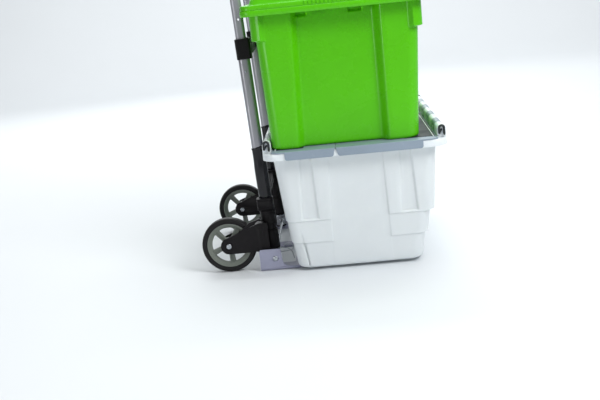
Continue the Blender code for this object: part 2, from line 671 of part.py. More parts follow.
def make_crate():
    hx, hy, w = CRATE_HALF_X, CRATE_HALF_Y, CRATE_WALL
    top, body = CRATE_RIM_TOP, 0.022
    walls = [
        (0.121, 0.032), (0.118, 0.039), (0.069, 0.044), (0.066, 0.050), (CRATE_FLOOR, 0.056)
    ]
    rim_r, wall_r = CRATE_CORNER_R, 0.026
    outer = [(CRATE_RIM_LOW, hx - w, hy - w, rim_r - w), (top - w, hx - w, hy - w, rim_r - w),
             (top - w, hx - body, hy - body, wall_r)]
    outer += [(z, hx - inset, hy - inset, wall_r) for z, inset in walls]
    inner = [(z + (w if z == CRATE_FLOOR else 0), hx - inset - w, hy - inset - w, wall_r - w)
             for z, inset in reversed(walls)]
    inner += [(top, hx - body - w, hy - body - w, wall_r - w)]
    rim_loop = [(top, hx, hy, rim_r), (CRATE_RIM_LOW, hx, hy, rim_r)]
    shell = loft("crate_shell", inner + rim_loop + outer, CLEAR_PLASTIC, CRATE_FRAME)
    for end in (-1, 1):
        for low, high in crate_knuckles(lid=False):
            mesh = knuckle_mesh(crate_axis(end), low, high, top - 0.0012)
            join(shell, mesh)
        reach = hy - KNUCKLE_INSET + 0.004
        pin = rod_mesh("pin", CRATE_PIN_R, -reach, reach, "Y", (crate_axis(end), CRATE_HINGE_Z), 12)
        part(f"crate_hinge_pin_{END_NAME[end]}", pin, DARK_GREY)


def leaf_edge(end):
    """The zigzag where the two leaves meet, from low Y to high Y."""
    reach, fingers = 0.041, 5
    half = CRATE_HALF_Y
    step = 2 * half / fingers
    points = []
    for k in range(fingers):
        sign = -1 if k % 2 == 0 else 1
        y0 = -half + k * step
        slope = 0.012
        points.append((CRATE_X + sign * reach, y0 + (slope if k else 0)))
        points.append((CRATE_X + sign * reach, y0 + step - (slope if k < fingers - 1 else 0)))
    return [(x + end * 0.0006, y) for x, y in points]


def make_leaf(end):
    name = f"crate_lid_{END_NAME[end]}"
    low, high = CRATE_RIM_TOP + GAP, CRATE_RIM_TOP + GAP + LEAF_THICK
    hinge_side = crate_axis(end) - end * (CRATE_HINGE_R + GAP)
    half = CRATE_HALF_Y
    edge = leaf_edge(end)
    corner_x, corner_y = hinge_side - end * 0.014, half - 0.009
    outline = [(hinge_side, -corner_y), (corner_x, -half)] + edge
    outline += [(corner_x, half), (hinge_side, corner_y)]
    leaf = upright_prism(name, [outline], low, high, GREY_PLASTIC)
    for side in (-1, 1):
        near_x = edge[0][0] if side < 0 else edge[-1][0]
        skirt_x = sorted((near_x, near_x + end * SKIRT_X[end]))
        skirt_y = sorted((side * (half - 0.002), side * (half + 0.0025)))
        flap = box_mesh("skirt", (skirt_x[0], skirt_y[0], low + 0.0004),
                        (skirt_x[1], skirt_y[1], high - 0.0004))
        join(leaf, flap)
        drop_x = sorted((near_x + end * SKIRT_NOTCH, near_x + end * SKIRT_X[end]))
        drop_y = sorted((side * (half + GAP), side * (half + 0.0025)))
        drop = box_mesh("drop", (drop_x[0], drop_y[0], CRATE_RIM_LOW), (drop_x[1], drop_y[1], high))
        join(leaf, drop)
    for y0, y1 in crate_knuckles(lid=True):
        eye = rod_mesh("eye", CRATE_HINGE_R, y0, y1, "Y", (crate_axis(end), CRATE_HINGE_Z), 14)
        join(leaf, eye)
        web = sorted((crate_axis(end) - end * 0.0002, hinge_side))
        join(leaf, box_mesh("web", (web[0], y0, low), (web[1], y1, CRATE_HINGE_Z)))
        tab = sorted((web[0], hinge_side - end * 0.004))
        join(leaf, box_mesh("tab", (tab[0], y0, low), (tab[1], y1, high)))
        pin_hole = rod_mesh("hole", CRATE_PIN_R + GAP, y0 - 0.001, y1 + 0.001, "Y",
                            (crate_axis(end), CRATE_HINGE_Z), 8)
        cut(leaf, pin_hole)


# ---- the upper box: a tub with a lift-off lid ---------------------------------------------
def make_tub():
    hx, hy, w = TUB_HALF_X, TUB_HALF_Y, TUB_WALL
    band, under, step, shift = 0.0170, 0.0264, 0.003, -0.00235
    base_x, base_y = 0.03855, 0.0270
    inside = [(TUB_LIP_TOP, hx - band - w, hy - band - w, 0.030),
              (TUB_STEP_Z + step, hx - band - w, hy - band - w, 0.030),
              (TUB_STEP_Z - step, hx - under - w, hy - under - w, 0.030),
              (TUB_FLOOR + w, hx - base_x - w, hy - base_y - w, 0.026, shift)]
    outside = [(TUB_LIP_TOP, hx, hy, 0.026), (TUB_LIP_LOW, hx, hy, 0.026),
               (TUB_LIP_LOW, hx - w, hy - w, 0.024), (TUB_LIP_TOP - w, hx - w, hy - w, 0.024),
               (TUB_LIP_TOP - w, hx - band, hy - band, 0.032),
               (TUB_STEP_Z, hx - band, hy - band, 0.032),
               (TUB_STEP_Z - step, hx - under, hy - under, 0.032),
               (TUB_FLOOR, hx - base_x, hy - base_y, 0.028, shift)]
    loft("tub_shell", inside[::-1] + outside, GREEN_PLASTIC, TUB_FRAME)


def make_tub_lid():
    hx, hy = TUB_HALF_X, TUB_HALF_Y
    low, top, w = TUB_LIP_TOP + GAP, TUB_LID_TOP, 0.0025
    brim, raised, flat = 0.002, 0.034, 0.050
    outside = [(top, hx - flat, hy - flat, 0.030), (top - 0.003, hx - raised, hy - raised, 0.030),
               (low + 0.0105, hx - 0.022, hy - 0.022, 0.030),
               (low + 0.0100, hx - brim, hy - brim, 0.026),
               (low, hx - 0.0015, hy - 0.0015, 0.026)]
    inside = [(low, hx - 0.0015 - w, hy - 0.0015 - w, 0.024),
              (low + 0.0075, hx - brim - w, hy - brim - w, 0.024),
              (low + 0.0080, hx - 0.022 - w, hy - 0.022 - w, 0.028),
              (top - 0.003 - w, hx - raised - w, hy - raised - w, 0.028),
              (top - w, hx - flat, hy - flat, 0.026)]
    loft("tub_lid", outside + inside, GREEN_PLASTIC, TUB_FRAME)


# ---- assembly ---------------------------------------------------------------------------
clear_scene()
TROLLEY = new_collection("hand_trolley")
CUTTERS = new_collection("cutters")
SIDES = (("right", -1), ("left", 1))
END_NAME = {-1: "rear", 1: "front"}

ALUMINIUM = material("aluminium", (0.55, 0.56, 0.58), 0.38, 1.0)
ZINC = material("zinc_plated_steel", (0.62, 0.64, 0.66), 0.32, 1.0)
GREY_PAINT = material("blue_grey_paint", (0.33, 0.35, 0.40), 0.45)
BLACK_PLASTIC = material("black_plastic", (0.020, 0.019, 0.021), 0.50)
GLOSS_BLACK = material("gloss_black_plastic", (0.015, 0.015, 0.018), 0.18)
RUBBER = material("black_rubber", (0.022, 0.022, 0.024), 0.75)
GREY_PLASTIC = material("grey_green_plastic", (0.36, 0.40, 0.37), 0.50)
DARK_GREY = material("dark_grey_plastic", (0.060, 0.065, 0.070), 0.30)
CLEAR_PLASTIC = material("milky_plastic", (0.82, 0.86, 0.87), 0.35)
GREEN_PLASTIC = material("green_plastic", (0.10, 0.50, 0.01), 0.30)

LEANING = empty("leaning_axes", turn=(0, -LEAN, 0))
HINGE_WORLD = empty("toe_hinge_axis", upright_point(HINGE_X, HINGE_Z))
CRATE_FRAME = empty("crate_axes", (CRATE_X, 0, 0))
TUB_FRAME = empty("tub_axes", (TUB_X, 0, 0))

for side_name, side in SIDES:
    make_outer_tube(side_name, side)
    make_foot_plug(side_name, side)
    make_sleeve(side_name, side)
    make_pivot_bush(side_name, side)
    make_collar(side_name, side)
    make_inner_tube(side_name, side)
    make_torsion_spring(side_name, side)
    make_wheel_arm(side_name, side)
    make_axle(side_name, side)
    make_wheel(side_name, side)
    make_stop_rivet(side_name, side)
make_lower_crossbar()
make_upper_crossbar()
make_release()
make_handle()
make_toe_plate()
make_hinge()
make_crate()
for end in (-1, 1):
    make_leaf(end)
make_tub()
make_tub_lid()
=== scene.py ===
"""Looks of the folding hand trolley with its crate and tub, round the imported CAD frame.

Metres, in the frame's own axes: +X forwards, +Y the user's left, +Z up. Each piece that a CAD
node stands behind is built here again in full detail, in the room that the node takes.
"""

import json
import math

import bmesh
import bpy
from mathutils import Matrix, Vector


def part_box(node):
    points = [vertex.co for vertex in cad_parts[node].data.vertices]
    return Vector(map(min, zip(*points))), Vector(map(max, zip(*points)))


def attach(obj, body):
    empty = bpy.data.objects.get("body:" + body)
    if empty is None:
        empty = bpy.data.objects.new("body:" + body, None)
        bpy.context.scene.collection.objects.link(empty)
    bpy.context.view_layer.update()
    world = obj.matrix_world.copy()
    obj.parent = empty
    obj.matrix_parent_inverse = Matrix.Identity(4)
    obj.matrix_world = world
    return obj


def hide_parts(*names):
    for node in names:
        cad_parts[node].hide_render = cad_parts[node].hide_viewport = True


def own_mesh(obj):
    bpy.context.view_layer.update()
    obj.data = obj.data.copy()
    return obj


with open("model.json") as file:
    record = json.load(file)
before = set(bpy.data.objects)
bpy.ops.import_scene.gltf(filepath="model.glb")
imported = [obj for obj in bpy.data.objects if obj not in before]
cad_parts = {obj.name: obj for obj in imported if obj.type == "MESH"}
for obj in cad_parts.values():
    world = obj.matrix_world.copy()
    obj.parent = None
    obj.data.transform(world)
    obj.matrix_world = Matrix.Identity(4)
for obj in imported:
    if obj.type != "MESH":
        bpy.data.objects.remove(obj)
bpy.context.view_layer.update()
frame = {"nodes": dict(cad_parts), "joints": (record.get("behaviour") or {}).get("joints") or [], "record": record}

# ---- places that the frame gives ----------------------------------------------------------
GAP = 0.0003
SIDES = (("right", -1), ("left", 1))
ENDS = (("rear", -1), ("front", 1))
BODY_OF = {
    node: body
    for body, nodes in frame["record"]["behaviour"]["bodies"].items()
    for node in nodes
}
JOINTS = {joint["name"]: joint for joint in frame["joints"]}

SLIDE_AXIS = Vector(JOINTS["handle_slide"]["axis"])
LEAN = math.atan2(-SLIDE_AXIS.x, SLIDE_AXIS.z)
TO_LEAN = Matrix.Rotation(LEAN, 3, "Y")     # world to leaning axes
TO_WORLD = Matrix.Rotation(-LEAN, 4, "Y")   # leaning axes to world
UPRIGHT_Y = JOINTS["arm_fold_left"]["pos_m"][1]
AXLE = Vector(JOINTS["wheel_spin_left"]["pos_m"])
TRACK_Y = AXLE.y
TOE_HINGE = Vector(JOINTS["toe_fold"]["pos_m"])
BOLT_R, BOLT_BORE_R = 0.003, 0.0033     # axle bolts and hinge shaft, and the bores round them


def lean_box(node):
    """Lowest and highest corner of a node in the axes that lean with the uprights."""
    points = [TO_LEAN @ v.co for v in frame["nodes"][node].data.vertices]
    low = Vector([min(p[i] for p in points) for i in range(3)])
    high = Vector([max(p[i] for p in points) for i in range(3)])
    return low, high


def middle_and_half(low, high):
    """Middle and half size of a box, each as three numbers."""
    return [(a + b) / 2 for a, b in zip(low, high)], [(b - a) / 2 for a, b in zip(low, high)]


def lean_span(node):
    return middle_and_half(*lean_box(node))


# ---- finishes -----------------------------------------------------------------------------
def made_node(tree, kind, inputs, output, data_type=None):
    """Output of a new node, whose inputs are set to values or linked to other outputs."""
    made = tree.nodes.new(kind)
    if data_type is not None:
        made.data_type = data_type
    for name, value in inputs.items():
        if isinstance(value, bpy.types.NodeSocket):
            tree.links.new(value, made.inputs[name])
        else:
            made.inputs[name].default_value = value
    return made.outputs[output]


def noise(tree, coords, scale, detail=3.0, rough=0.5, stretch=(1, 1, 1)):
    """Factor output of a noise, in object coordinates stretched along each axis."""
    mapped = made_node(tree, "ShaderNodeMapping", {"Scale": stretch, "Vector": coords}, "Vector")
    return made_node(tree, "ShaderNodeTexNoise", {
        "Scale": scale, "Detail": detail, "Roughness": rough, "Vector": mapped}, "Fac")


def spread(tree, value, low, high, from_low=0.3, from_high=0.7):
    """Maps a noise's middle range to low..high."""
    return made_node(tree, "ShaderNodeMapRange", {
        "From Min": from_low, "From Max": from_high, "To Min": low, "To Max": high,
        "Value": value}, "Result")


def mixed(tree, factor, first, second):
    """Mixes two colours, or a colour and a colour output, by a factor output."""
    ends = {name: (*colour, 1.0) if isinstance(colour, tuple) else colour
            for name, colour in (("A", first), ("B", second))}
    return made_node(tree, "ShaderNodeMix", {"Factor": factor, **ends}, "Result", "RGBA")


def bumped(tree, height, strength, distance, after=None):
    inputs = {"Strength": strength, "Distance": distance, "Height": height}
    if after is not None:
        inputs["Normal"] = after
    return made_node(tree, "ShaderNodeBump", inputs, "Normal")


def new_material(name):
    """A material, with its node tree, its shader's inputs and its object coordinates."""
    made = bpy.data.materials.new(name)
    made.use_nodes = True
    tree = made.node_tree
    coords = tree.nodes.new("ShaderNodeTexCoord").outputs["Object"]
    return made, tree, tree.nodes["Principled BSDF"].inputs, coords


def finish(name, colour, worn, roughness, grain, metallic=0.0, patches=6.0, shift=0.35,
           scratches=None, specular=0.5, coat=0.0, coat_roughness=0.1, inner_glow=0.0):
    """A finish with colour drift, rubbed patches, uneven gloss, a moulded grain and scratches.

    colour and worn are the surface and its rubbed patches. grain is (scale, strength, depth) of
    the fine bump, and scratches is (stretch, strength) of a second, drawn-out one. inner_glow is
    how much of the light spreads inside the plastic.
    """
    made, tree, inputs, coords = new_material(name)
    drift = spread(tree, noise(tree, coords, patches, 4.0), 0.0, 1.0)
    base = mixed(tree, drift, tuple(c * (1 - 0.25 * shift) for c in colour), colour)
    rubbed = spread(tree, noise(tree, coords, 38.0, 6.0, 0.65), 0.0, 0.55, 0.56, 0.80)
    tree.links.new(mixed(tree, rubbed, base, worn), inputs["Base Color"])
    gloss = noise(tree, coords, 22.0, 5.0, 0.6)
    rough = spread(tree, gloss, roughness * 0.82, min(1.0, roughness * 1.22))
    tree.links.new(rough, inputs["Roughness"])
    inputs["Metallic"].default_value = metallic
    inputs["Specular IOR Level"].default_value = specular
    inputs["Coat Weight"].default_value = coat
    inputs["Coat Roughness"].default_value = coat_roughness
    inputs["Subsurface Weight"].default_value = inner_glow
    inputs["Subsurface Radius"].default_value = (0.008, 0.008, 0.009)
    inputs["Subsurface Scale"].default_value = 1.0
    scale, strength, depth = grain
    normal = bumped(tree, noise(tree, coords, scale, 2.0), strength, depth)
    if scratches is not None:
        stretch, strength = scratches
        drawn = noise(tree, coords, 60.0, 4.0, 0.7, stretch)
        normal = bumped(tree, drawn, strength, 0.0004, normal)
    tree.links.new(normal, inputs["Normal"])
    return made


ALONG_TUBE = (14, 14, 0.4)
FINISHES = {
    "aluminium": finish("satin_aluminium", (0.36, 0.36, 0.39), (0.46, 0.46, 0.49), 0.42,
                        (900, 0.10, 0.0003), metallic=0.80, scratches=(ALONG_TUBE, 0.22)),
    "zinc_steel": finish("bright_zinc", (0.46, 0.49, 0.52), (0.30, 0.31, 0.34), 0.28,
                         (500, 0.15, 0.0003), metallic=1.0),
    "grey_paint": finish("blue_grey_powder_coat", (0.29, 0.30, 0.40), (0.36, 0.37, 0.48), 0.42,
                         (1400, 0.25, 0.0003), specular=0.4),
    "black_plastic": finish("grained_black_plastic", (0.0075, 0.0065, 0.0075),
                            (0.016, 0.014, 0.016), 0.46, (1100, 0.35, 0.0004), specular=0.16),
    "gloss_black_plastic": finish("gloss_black_plastic", (0.004, 0.004, 0.007),
                                  (0.008, 0.008, 0.012), 0.15, (60, 0.05, 0.0006),
                                  specular=0.38),
    "grip_rubber": finish("soft_grip_rubber", (0.012, 0.012, 0.014), (0.024, 0.024, 0.026), 0.72,
                          (1300, 0.45, 0.0005), specular=0.2),
    "tyre_rubber": finish("tyre_rubber", (0.0085, 0.0080, 0.0085), (0.022, 0.021, 0.023), 0.50,
                          (900, 0.35, 0.0004), specular=0.22),
    "grey_plastic": finish("grey_green_plastic", (0.175, 0.195, 0.17), (0.25, 0.27, 0.24), 0.34,
                           (1000, 0.25, 0.0003), specular=0.4),
    "lid_plastic": finish("blue_grey_lid_plastic", (0.25, 0.31, 0.38), (0.32, 0.38, 0.45), 0.34,
                          (900, 0.15, 0.0003)),
    "dark_grey_plastic": finish("dark_grey_plastic", (0.030, 0.036, 0.038),
                                (0.060, 0.068, 0.072), 0.50, (900, 0.10, 0.0003), specular=0.14),
    "milky_plastic": finish("milky_plastic", (0.74, 0.79, 0.82), (0.78, 0.82, 0.84), 0.36,
                            (420, 0.12, 0.0005), patches=9.0, shift=0.2, coat=0.2,
                            coat_roughness=0.2, inner_glow=0.4),
    "green_plastic": finish("green_plastic", (0.088, 0.50, 0.0012), (0.096, 0.52, 0.002), 0.26,
                            (700, 0.06, 0.0004), patches=8.0, shift=0.25, specular=0.36),
}


# ---- mesh helpers --------------------------------------------------------------------------
def smooth_step(t):
    t = min(1.0, max(0.0, t))
    return t * t * (3 - 2 * t)


def mix(a, b, t):
    return a + (b - a) * t


def arc(centre, radius, first_deg, last_deg, steps):
    """Points on an arc, both ends included."""
    angles = [math.radians(mix(first_deg, last_deg, i / steps)) for i in range(steps + 1)]
    return [(centre[0] + radius * math.cos(a), centre[1] + radius * math.sin(a)) for a in angles]


def circle(radius, centre=(0, 0), steps=48):
    return arc(centre, radius, 0, 360, steps)[:-1]


def flat_oval(length, width, steps=14):
    """Outline of a flat-sided oval tube, long along X."""
    r, c = width / 2, (length - width) / 2
    return arc((c, 0), r, -90, 90, steps) + arc((-c, 0), r, 90, 270, steps)


def rounded_box(half_x, half_y, radius, centre=(0, 0)):
    points, steps = [], 8
    for k, (sx, sy) in enumerate(((1, 1), (-1, 1), (-1, -1), (1, -1))):
        corner = (centre[0] + sx * (half_x - radius), centre[1] + sy * (half_y - radius))
        points += arc(corner, radius, 90 * k, 90 * k + 90, steps)
    return points


def rounded(points, radii, steps=5):
    """A closed outline with each corner rounded by its own radius."""
    result = []
    count = len(points)
    for i, radius in enumerate(radii):
        here = Vector(points[i])
        before = Vector(points[i - 1]) - here
        after = Vector(points[(i + 1) % count]) - here
        if radius == 0:
            result.append(tuple(here))
            continue
        a, b = before.normalized(), after.normalized()
        half = math.acos(max(-1.0, min(1.0, a.dot(b)))) / 2
        reach = min(radius / math.tan(half), 0.49 * before.length, 0.49 * after.length)
        start, end = here + a * reach, here + b * reach
        for k in range(steps + 1):
            t = k / steps
            result.append(tuple(start * (1 - t) ** 2 + here * (2 * t * (1 - t)) + end * t ** 2))
    return result


def new_object(name, data):
    obj = bpy.data.objects.new(name, data)
    bpy.context.scene.collection.objects.link(obj)
    return obj


def to_mesh(bm, mesh, clean=False):
    """Moves bm into mesh, if asked with doubled points merged and all faces turned outwards."""
    if clean:
        bmesh.ops.remove_doubles(bm, verts=bm.verts, dist=1e-6)
        bmesh.ops.recalc_face_normals(bm, faces=bm.faces)
    bm.to_mesh(mesh)
    bm.free()
    return mesh


def flat_mesh(name, outlines, thickness, bevel=0.0, bevel_steps=2):
    """A filled outline in the XY plane, with holes, thickened about z = 0, its edges rounded."""
    curve = bpy.data.curves.new(name, "CURVE")
    curve.dimensions = "2D"
    curve.fill_mode = "BOTH"
    curve.extrude = thickness / 2 - bevel
    curve.bevel_depth = bevel
    curve.bevel_resolution = bevel_steps
    curve.offset = -bevel
    for outline in outlines:
        spline = curve.splines.new("POLY")
        spline.points.add(len(outline) - 1)
        for point, (x, y) in zip(spline.points, outline):
            point.co = (x, y, 0, 1)
        spline.use_cyclic_u = True
    drawn = new_object(name, curve)
    mesh = evaluated_mesh(drawn)
    bpy.data.objects.remove(drawn)
    bm = bmesh.new()
    bm.from_mesh(mesh)
    return to_mesh(bm, mesh, clean=True)


def raised(name, outlines, low, high, y=0.0, bevel=0.0, bevel_steps=2):
    """A filled outline from height low to high, about an axis that is y to the left."""
    mesh = flat_mesh(name, outlines, high - low, bevel, bevel_steps)
    mesh.transform(at(0, y, (low + high) / 2))
    return mesh


STAND_IN_XZ = Matrix.Rotation(math.pi / 2, 4, "X")     # an XY outline becomes one in XZ


def outwards(side):
    """Turns an XY outline into one in YZ, whose x runs away from the middle on that side."""
    return Matrix(((0, 0, 1, 0), (side, 0, 0, 0), (0, 1, 0, 0), (0, 0, 0, 1)))


def at(x, y, z):
    return Matrix.Translation((x, y, z))


def box_mesh(name, low, high):
    middle, half = middle_and_half(low, high)
    bm = bmesh.new()
    bmesh.ops.create_cube(bm, size=2.0)
    bm.transform(Matrix.Translation(middle) @ Matrix.Diagonal((*half, 1)))
    return to_mesh(bm, bpy.data.meshes.new(name))


def skin(name, rings, closed_stack=False):
    """Quads between rings of points. The first and last ring are capped, or joined together."""
    bm = bmesh.new()
    made = [[bm.verts.new(p) for p in ring] for ring in rings]
    pairs = list(zip(made, made[1:]))
    if closed_stack:
        pairs.append((made[-1], made[0]))
    for first, second in pairs:
        for i in range(len(first)):
            bm.faces.new((first[i - 1], first[i], second[i], second[i - 1]))
    if not closed_stack:
        bm.faces.new(made[0])
        bm.faces.new(made[-1])
    return to_mesh(bm, bpy.data.meshes.new(name), clean=True)


def full_turn(steps):
    return [2 * math.pi * i / steps for i in range(steps)]


def turned_mesh(name, profile, steps=72):
    """A closed profile of (radius, y) turned about the Y axis."""
    rings = [[(r * math.cos(a), y, r * math.sin(a)) for r, y in profile] for a in full_turn(steps)]
    return skin(name, rings, closed_stack=True)


def ring_mesh(name, bore_r, outer_r, half, chamfer):
    """A ring about the Y axis, its outer edges chamfered."""
    outer = [(outer_r - chamfer, -half), (outer_r, -half + chamfer), (outer_r, half - chamfer),
             (outer_r - chamfer, half)]
    return turned_mesh(name, [(bore_r, -half)] + outer + [(bore_r, half)], 40)


def solid_turned(name, profile, steps=40):
    """A solid turned about the Y axis. profile goes from one end to the other, off the axis."""
    rings = [[(r * math.cos(a), y, r * math.sin(a)) for a in full_turn(steps)] for r, y in profile]
    return skin(name, rings)


def mirrored(points):
    """The points, then all that are off the first axis again on its other side."""
    return points + [(a, -b) for a, b in reversed(points) if b != 0]


def path_frames(points):
    """A point, a side vector and an up vector at each point of a path, without twist."""
    points = [Vector(p) for p in points]
    frames = []
    side = None
    for i, here in enumerate(points):
        ahead = (points[min(i + 1, len(points) - 1)] - points[max(i - 1, 0)]).normalized()
        if side is None:
            guess = Vector((0, 1, 0)) if abs(ahead.y) < 0.8 else Vector((1, 0, 0))
            side = ahead.cross(guess).normalized()
        side = (side - ahead * side.dot(ahead)).normalized()
        frames.append((here, side, ahead.cross(side)))
    return frames


def tube_mesh(name, points, radius, steps=16, radii=None):
    """A round rod along a path. radii gives it a radius at each point."""
    rings = []
    for k, (here, side, up) in enumerate(path_frames(points)):
        r = radius if radii is None else radii[k]
        rings.append([here + side * (r * math.cos(a)) + up * (r * math.sin(a))
                      for a in full_turn(steps)])
    return skin(name, rings)


def smooth_path(points, per_span=6):
    """A Catmull-Rom curve through the points."""
    points = [Vector(p) for p in points]
    ends = [points[0] * 2 - points[1]] + points + [points[-1] * 2 - points[-2]]
    result = []
    for i in range(1, len(ends) - 2):
        a, b, c, d = ends[i - 1: i + 3]
        for k in range(per_span):
            t = k / per_span
            result.append(0.5 * (2 * b + (c - a) * t + (2 * a - 5 * b + 4 * c - d) * t ** 2
                                 + (3 * b - a - 3 * c + d) * t ** 3))
    return result + [points[-1]]


def combine(name, *meshes):
    """Several closed bodies in one mesh, each (mesh, matrix) or a mesh alone."""
    bm = bmesh.new()
    for entry in meshes:
        mesh, matrix = entry if isinstance(entry, tuple) else (entry, None)
        copy = mesh.copy()
        if matrix is not None:
            copy.transform(matrix)
        bm.from_mesh(copy)
        bpy.data.meshes.remove(copy)
    return to_mesh(bm, bpy.data.meshes.new(name))


def boolean(obj, operation, mesh, matrix=None):
    """Joins to or cuts from obj another mesh, and applies it."""
    other = new_object("operand", mesh.copy())
    if matrix is not None:
        other.data.transform(matrix)
    modifier = obj.modifiers.new("boolean", "BOOLEAN")
    modifier.operation = operation
    modifier.solver = "EXACT"
    modifier.object = other
    apply_modifiers(obj)
    bpy.data.objects.remove(other)
    return obj


def evaluated_mesh(obj):
    bpy.context.view_layer.update()
    graph = bpy.context.evaluated_depsgraph_get()
    return bpy.data.meshes.new_from_object(obj.evaluated_get(graph))


def apply_modifiers(obj):
    mesh = evaluated_mesh(obj)
    obj.modifiers.clear()
    obj.data = mesh


def join(obj, mesh, matrix=None):
    return boolean(obj, "UNION", mesh, matrix)


def cut(obj, mesh, matrix=None):
    return boolean(obj, "DIFFERENCE", mesh, matrix)


def soften(obj, width, segments=2, angle_deg=35):
    """Rounds every sharp edge, and keeps the flats flat in the shading."""
    bevel = obj.modifiers.new("soft_edges", "BEVEL")
    bevel.width = width
    bevel.segments = segments
    bevel.limit_method = "ANGLE"
    bevel.angle_limit = math.radians(angle_deg)
    bevel.harden_normals = True
    bevel.use_clamp_overlap = True
    apply_modifiers(obj)


def dress(obj, node, slot, sharp_deg=40.0, leaning=False):
    """Gives a finished piece its finish, its shading and the CAD body that it moves with."""
    if leaning:
        obj.data.transform(TO_WORLD)
    obj.data.materials.clear()
    obj.data.materials.append(FINISHES[slot])
    obj.data.shade_smooth()
    obj.data.set_sharp_from_angle(angle=math.radians(sharp_deg))
    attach(obj, BODY_OF[node])
    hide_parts(node)
    return obj


def piece(node, mesh, slot, sharp_deg=40.0, leaning=False, place=None, suffix="detail"):
    """A finished piece from a mesh, which place moves first."""
    if place is not None:
        mesh.transform(place)
    return dress(new_object(f"{node}_{suffix}", mesh), node, slot, sharp_deg, leaning)


# ---- box walls with panels and flutes ------------------------------------------------------
class BoxWall:
    """Rings of points round a box with rounded corners, whose faces have features.

    stations(axis, z, reach) gives where the columns of points stand on a face, from -reach to
    reach about its middle, for faces across X (axis 0) and across Y (axis 1). dent(axis, sign,
    s, z) is how far the wall is pushed in there. Corners keep the plain rounded shape.
    """
    CORNER_STEPS = 10

    def __init__(self, centre, half, stations, dent=None):
        self.centre, self.half, self.stations, self.dent = centre, half, stations, dent

    def ring(self, z, inset, radius, extra=0.0, dented=True):
        """inset is one distance, or those of the rear, front and side walls."""
        rear, front, side = inset if isinstance(inset, tuple) else (inset, inset, inset)
        shift = (rear - front) / 2
        half = [self.half[0] - (rear + front) / 2 - extra, self.half[1] - side - extra]
        radius = max(0.002, radius - extra)
        points = []
        for k, (axis, sign) in enumerate(((0, 1), (1, 1), (0, -1), (1, -1))):
            reach = half[1 - axis] - radius
            along, across = (0.0, shift) if axis == 0 else (shift, 0.0)
            low, high = along - reach, along + reach
            marks = self.stations(axis, z, reach)[1:-1]
            marks = [low] + [max(low, min(high, s)) for s in marks] + [high]
            forward = (axis == 0) == (sign > 0)
            for s in (marks if forward else reversed(marks)):
                push = self.dent(axis, sign, s, z) if dented else 0.0
                out = across + sign * (half[axis] - push)
                x, y = (out, s) if axis == 0 else (s, out)
                points.append((self.centre[0] + x, self.centre[1] + y, z))
            corner = Vector([
                ((1, 1), (-1, 1), (-1, -1), (1, -1))[k][i] * (half[i] - radius) for i in (0, 1)
            ])
            for i in range(1, self.CORNER_STEPS):
                angle = math.pi / 2 * (k + i / self.CORNER_STEPS)
                points.append((self.centre[0] + shift + corner.x + radius * math.cos(angle),
                               self.centre[1] + corner.y + radius * math.sin(angle), z))
        return points

    def plain(self, rows):
        """Rings without dents, each row being (height, inset, corner radius)."""
        return [self.ring(*row, dented=False) for row in rows]

    def shell(self, inset_at, heights, base, top, radius, wall, rim):
        """Rings of an open box: up the inside, out over the rim and down the outside.

        base is the lowest height with the radius and steps of the rounding there, and rim is the
        rows of plain rings that the lip is made of.
        """
        low, foot_r, steps = base
        angles = [math.pi / 2 * i / steps for i in range(1, steps + 1)]
        foot = [(low + foot_r * (1 - math.sin(a)), foot_r * (1 - math.cos(a))) for a in angles]
        outside = [self.ring(z, inset_at(z), radius) for z in heights]
        outside += [self.ring(z, deeper(inset_at(z), inward), radius) for z, inward in foot]
        edge = 0.0006
        inside = [self.ring(z, inset_at(z), radius, wall) for z in [top - edge] + heights[1:]]
        inside += [self.ring(z + wall, deeper(inset_at(z), inward), radius, wall)
                   for z, inward in foot]
        inside.reverse()
        return (inside + [self.ring(top, inset_at(top), radius, wall - edge)] + self.plain(rim)
                + outside)


def blend(first, second, t):
    """Mixes two sets of insets."""
    return tuple(mix(a, b, t) for a, b in zip(first, second))


def deeper(inset, more):
    return tuple(a + more for a in inset)


def spaced(knots, counts):
    """Distances from knot to knot, each span cut into its own number of steps."""
    result = []
    for a, b, count in zip(knots, knots[1:], counts):
        result += [mix(a, b, i / count) for i in range(count)]
    return result + [knots[-1]]


def trench(s, edges, depth):
    """Depth at s of a recess with sloping walls. edges is (outer, floor, floor, outer)."""
    a, b, c, d = edges
    if s <= a or s >= d:
        return 0.0
    if s < b:
        return depth * smooth_step((s - a) / (b - a))
    if s > c:
        return depth * smooth_step((d - s) / (d - c))
    return depth


# ---- the tub ---------------------------------------------------------------------------------
TUB_LOW, TUB_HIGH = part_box("tub_shell")
TUB_MID = ((TUB_LOW.x + TUB_HIGH.x) / 2, 0.0)
TUB_HALF = ((TUB_HIGH.x - TUB_LOW.x) / 2, TUB_HIGH.y)
TUB_WALL = 0.0025
TUB_LIP = 0.0125                 # height of the lip's outer face
TUB_STEP_Z = TUB_HIGH.z - 0.066  # lower edge of the collar under the rear and front lips
TUB_BAND, TUB_UNDER = (0.0170,) * 3, (0.0264,) * 3       # insets of the collar and the wall top
TUB_BASE = (0.0362, 0.0409, 0.0270)                      # rear, front and side insets at the base
TUB_CORNER_R, TUB_FOOT_R = 0.024, 0.007
COLLAR_WRAP = (0.149, 0.164)     # the collar fades out this far from the tub's middle
RECESS_DEPTH = 0.0195
POCKETS = ((-0.0855, -0.0605), (0.0275, 0.0555))
POCKET_LOW, POCKET_HIGH, POCKET_DEPTH = TUB_HIGH.z - 0.0245, TUB_HIGH.z - 0.0185, 0.006
END_FLUTES = (0.034, 0.052, 0.150, 0.168)


def tub_edges(z):
    """Outer and floor edges of the side recess, which widens towards the base."""
    t = (TUB_HIGH.z - z) / (TUB_HIGH.z - TUB_LOW.z)
    return (mix(-0.0965, -0.1075, t), mix(-0.0785, -0.0875, t),
            mix(0.0750, 0.0765, t), mix(0.0965, 0.0965, t))


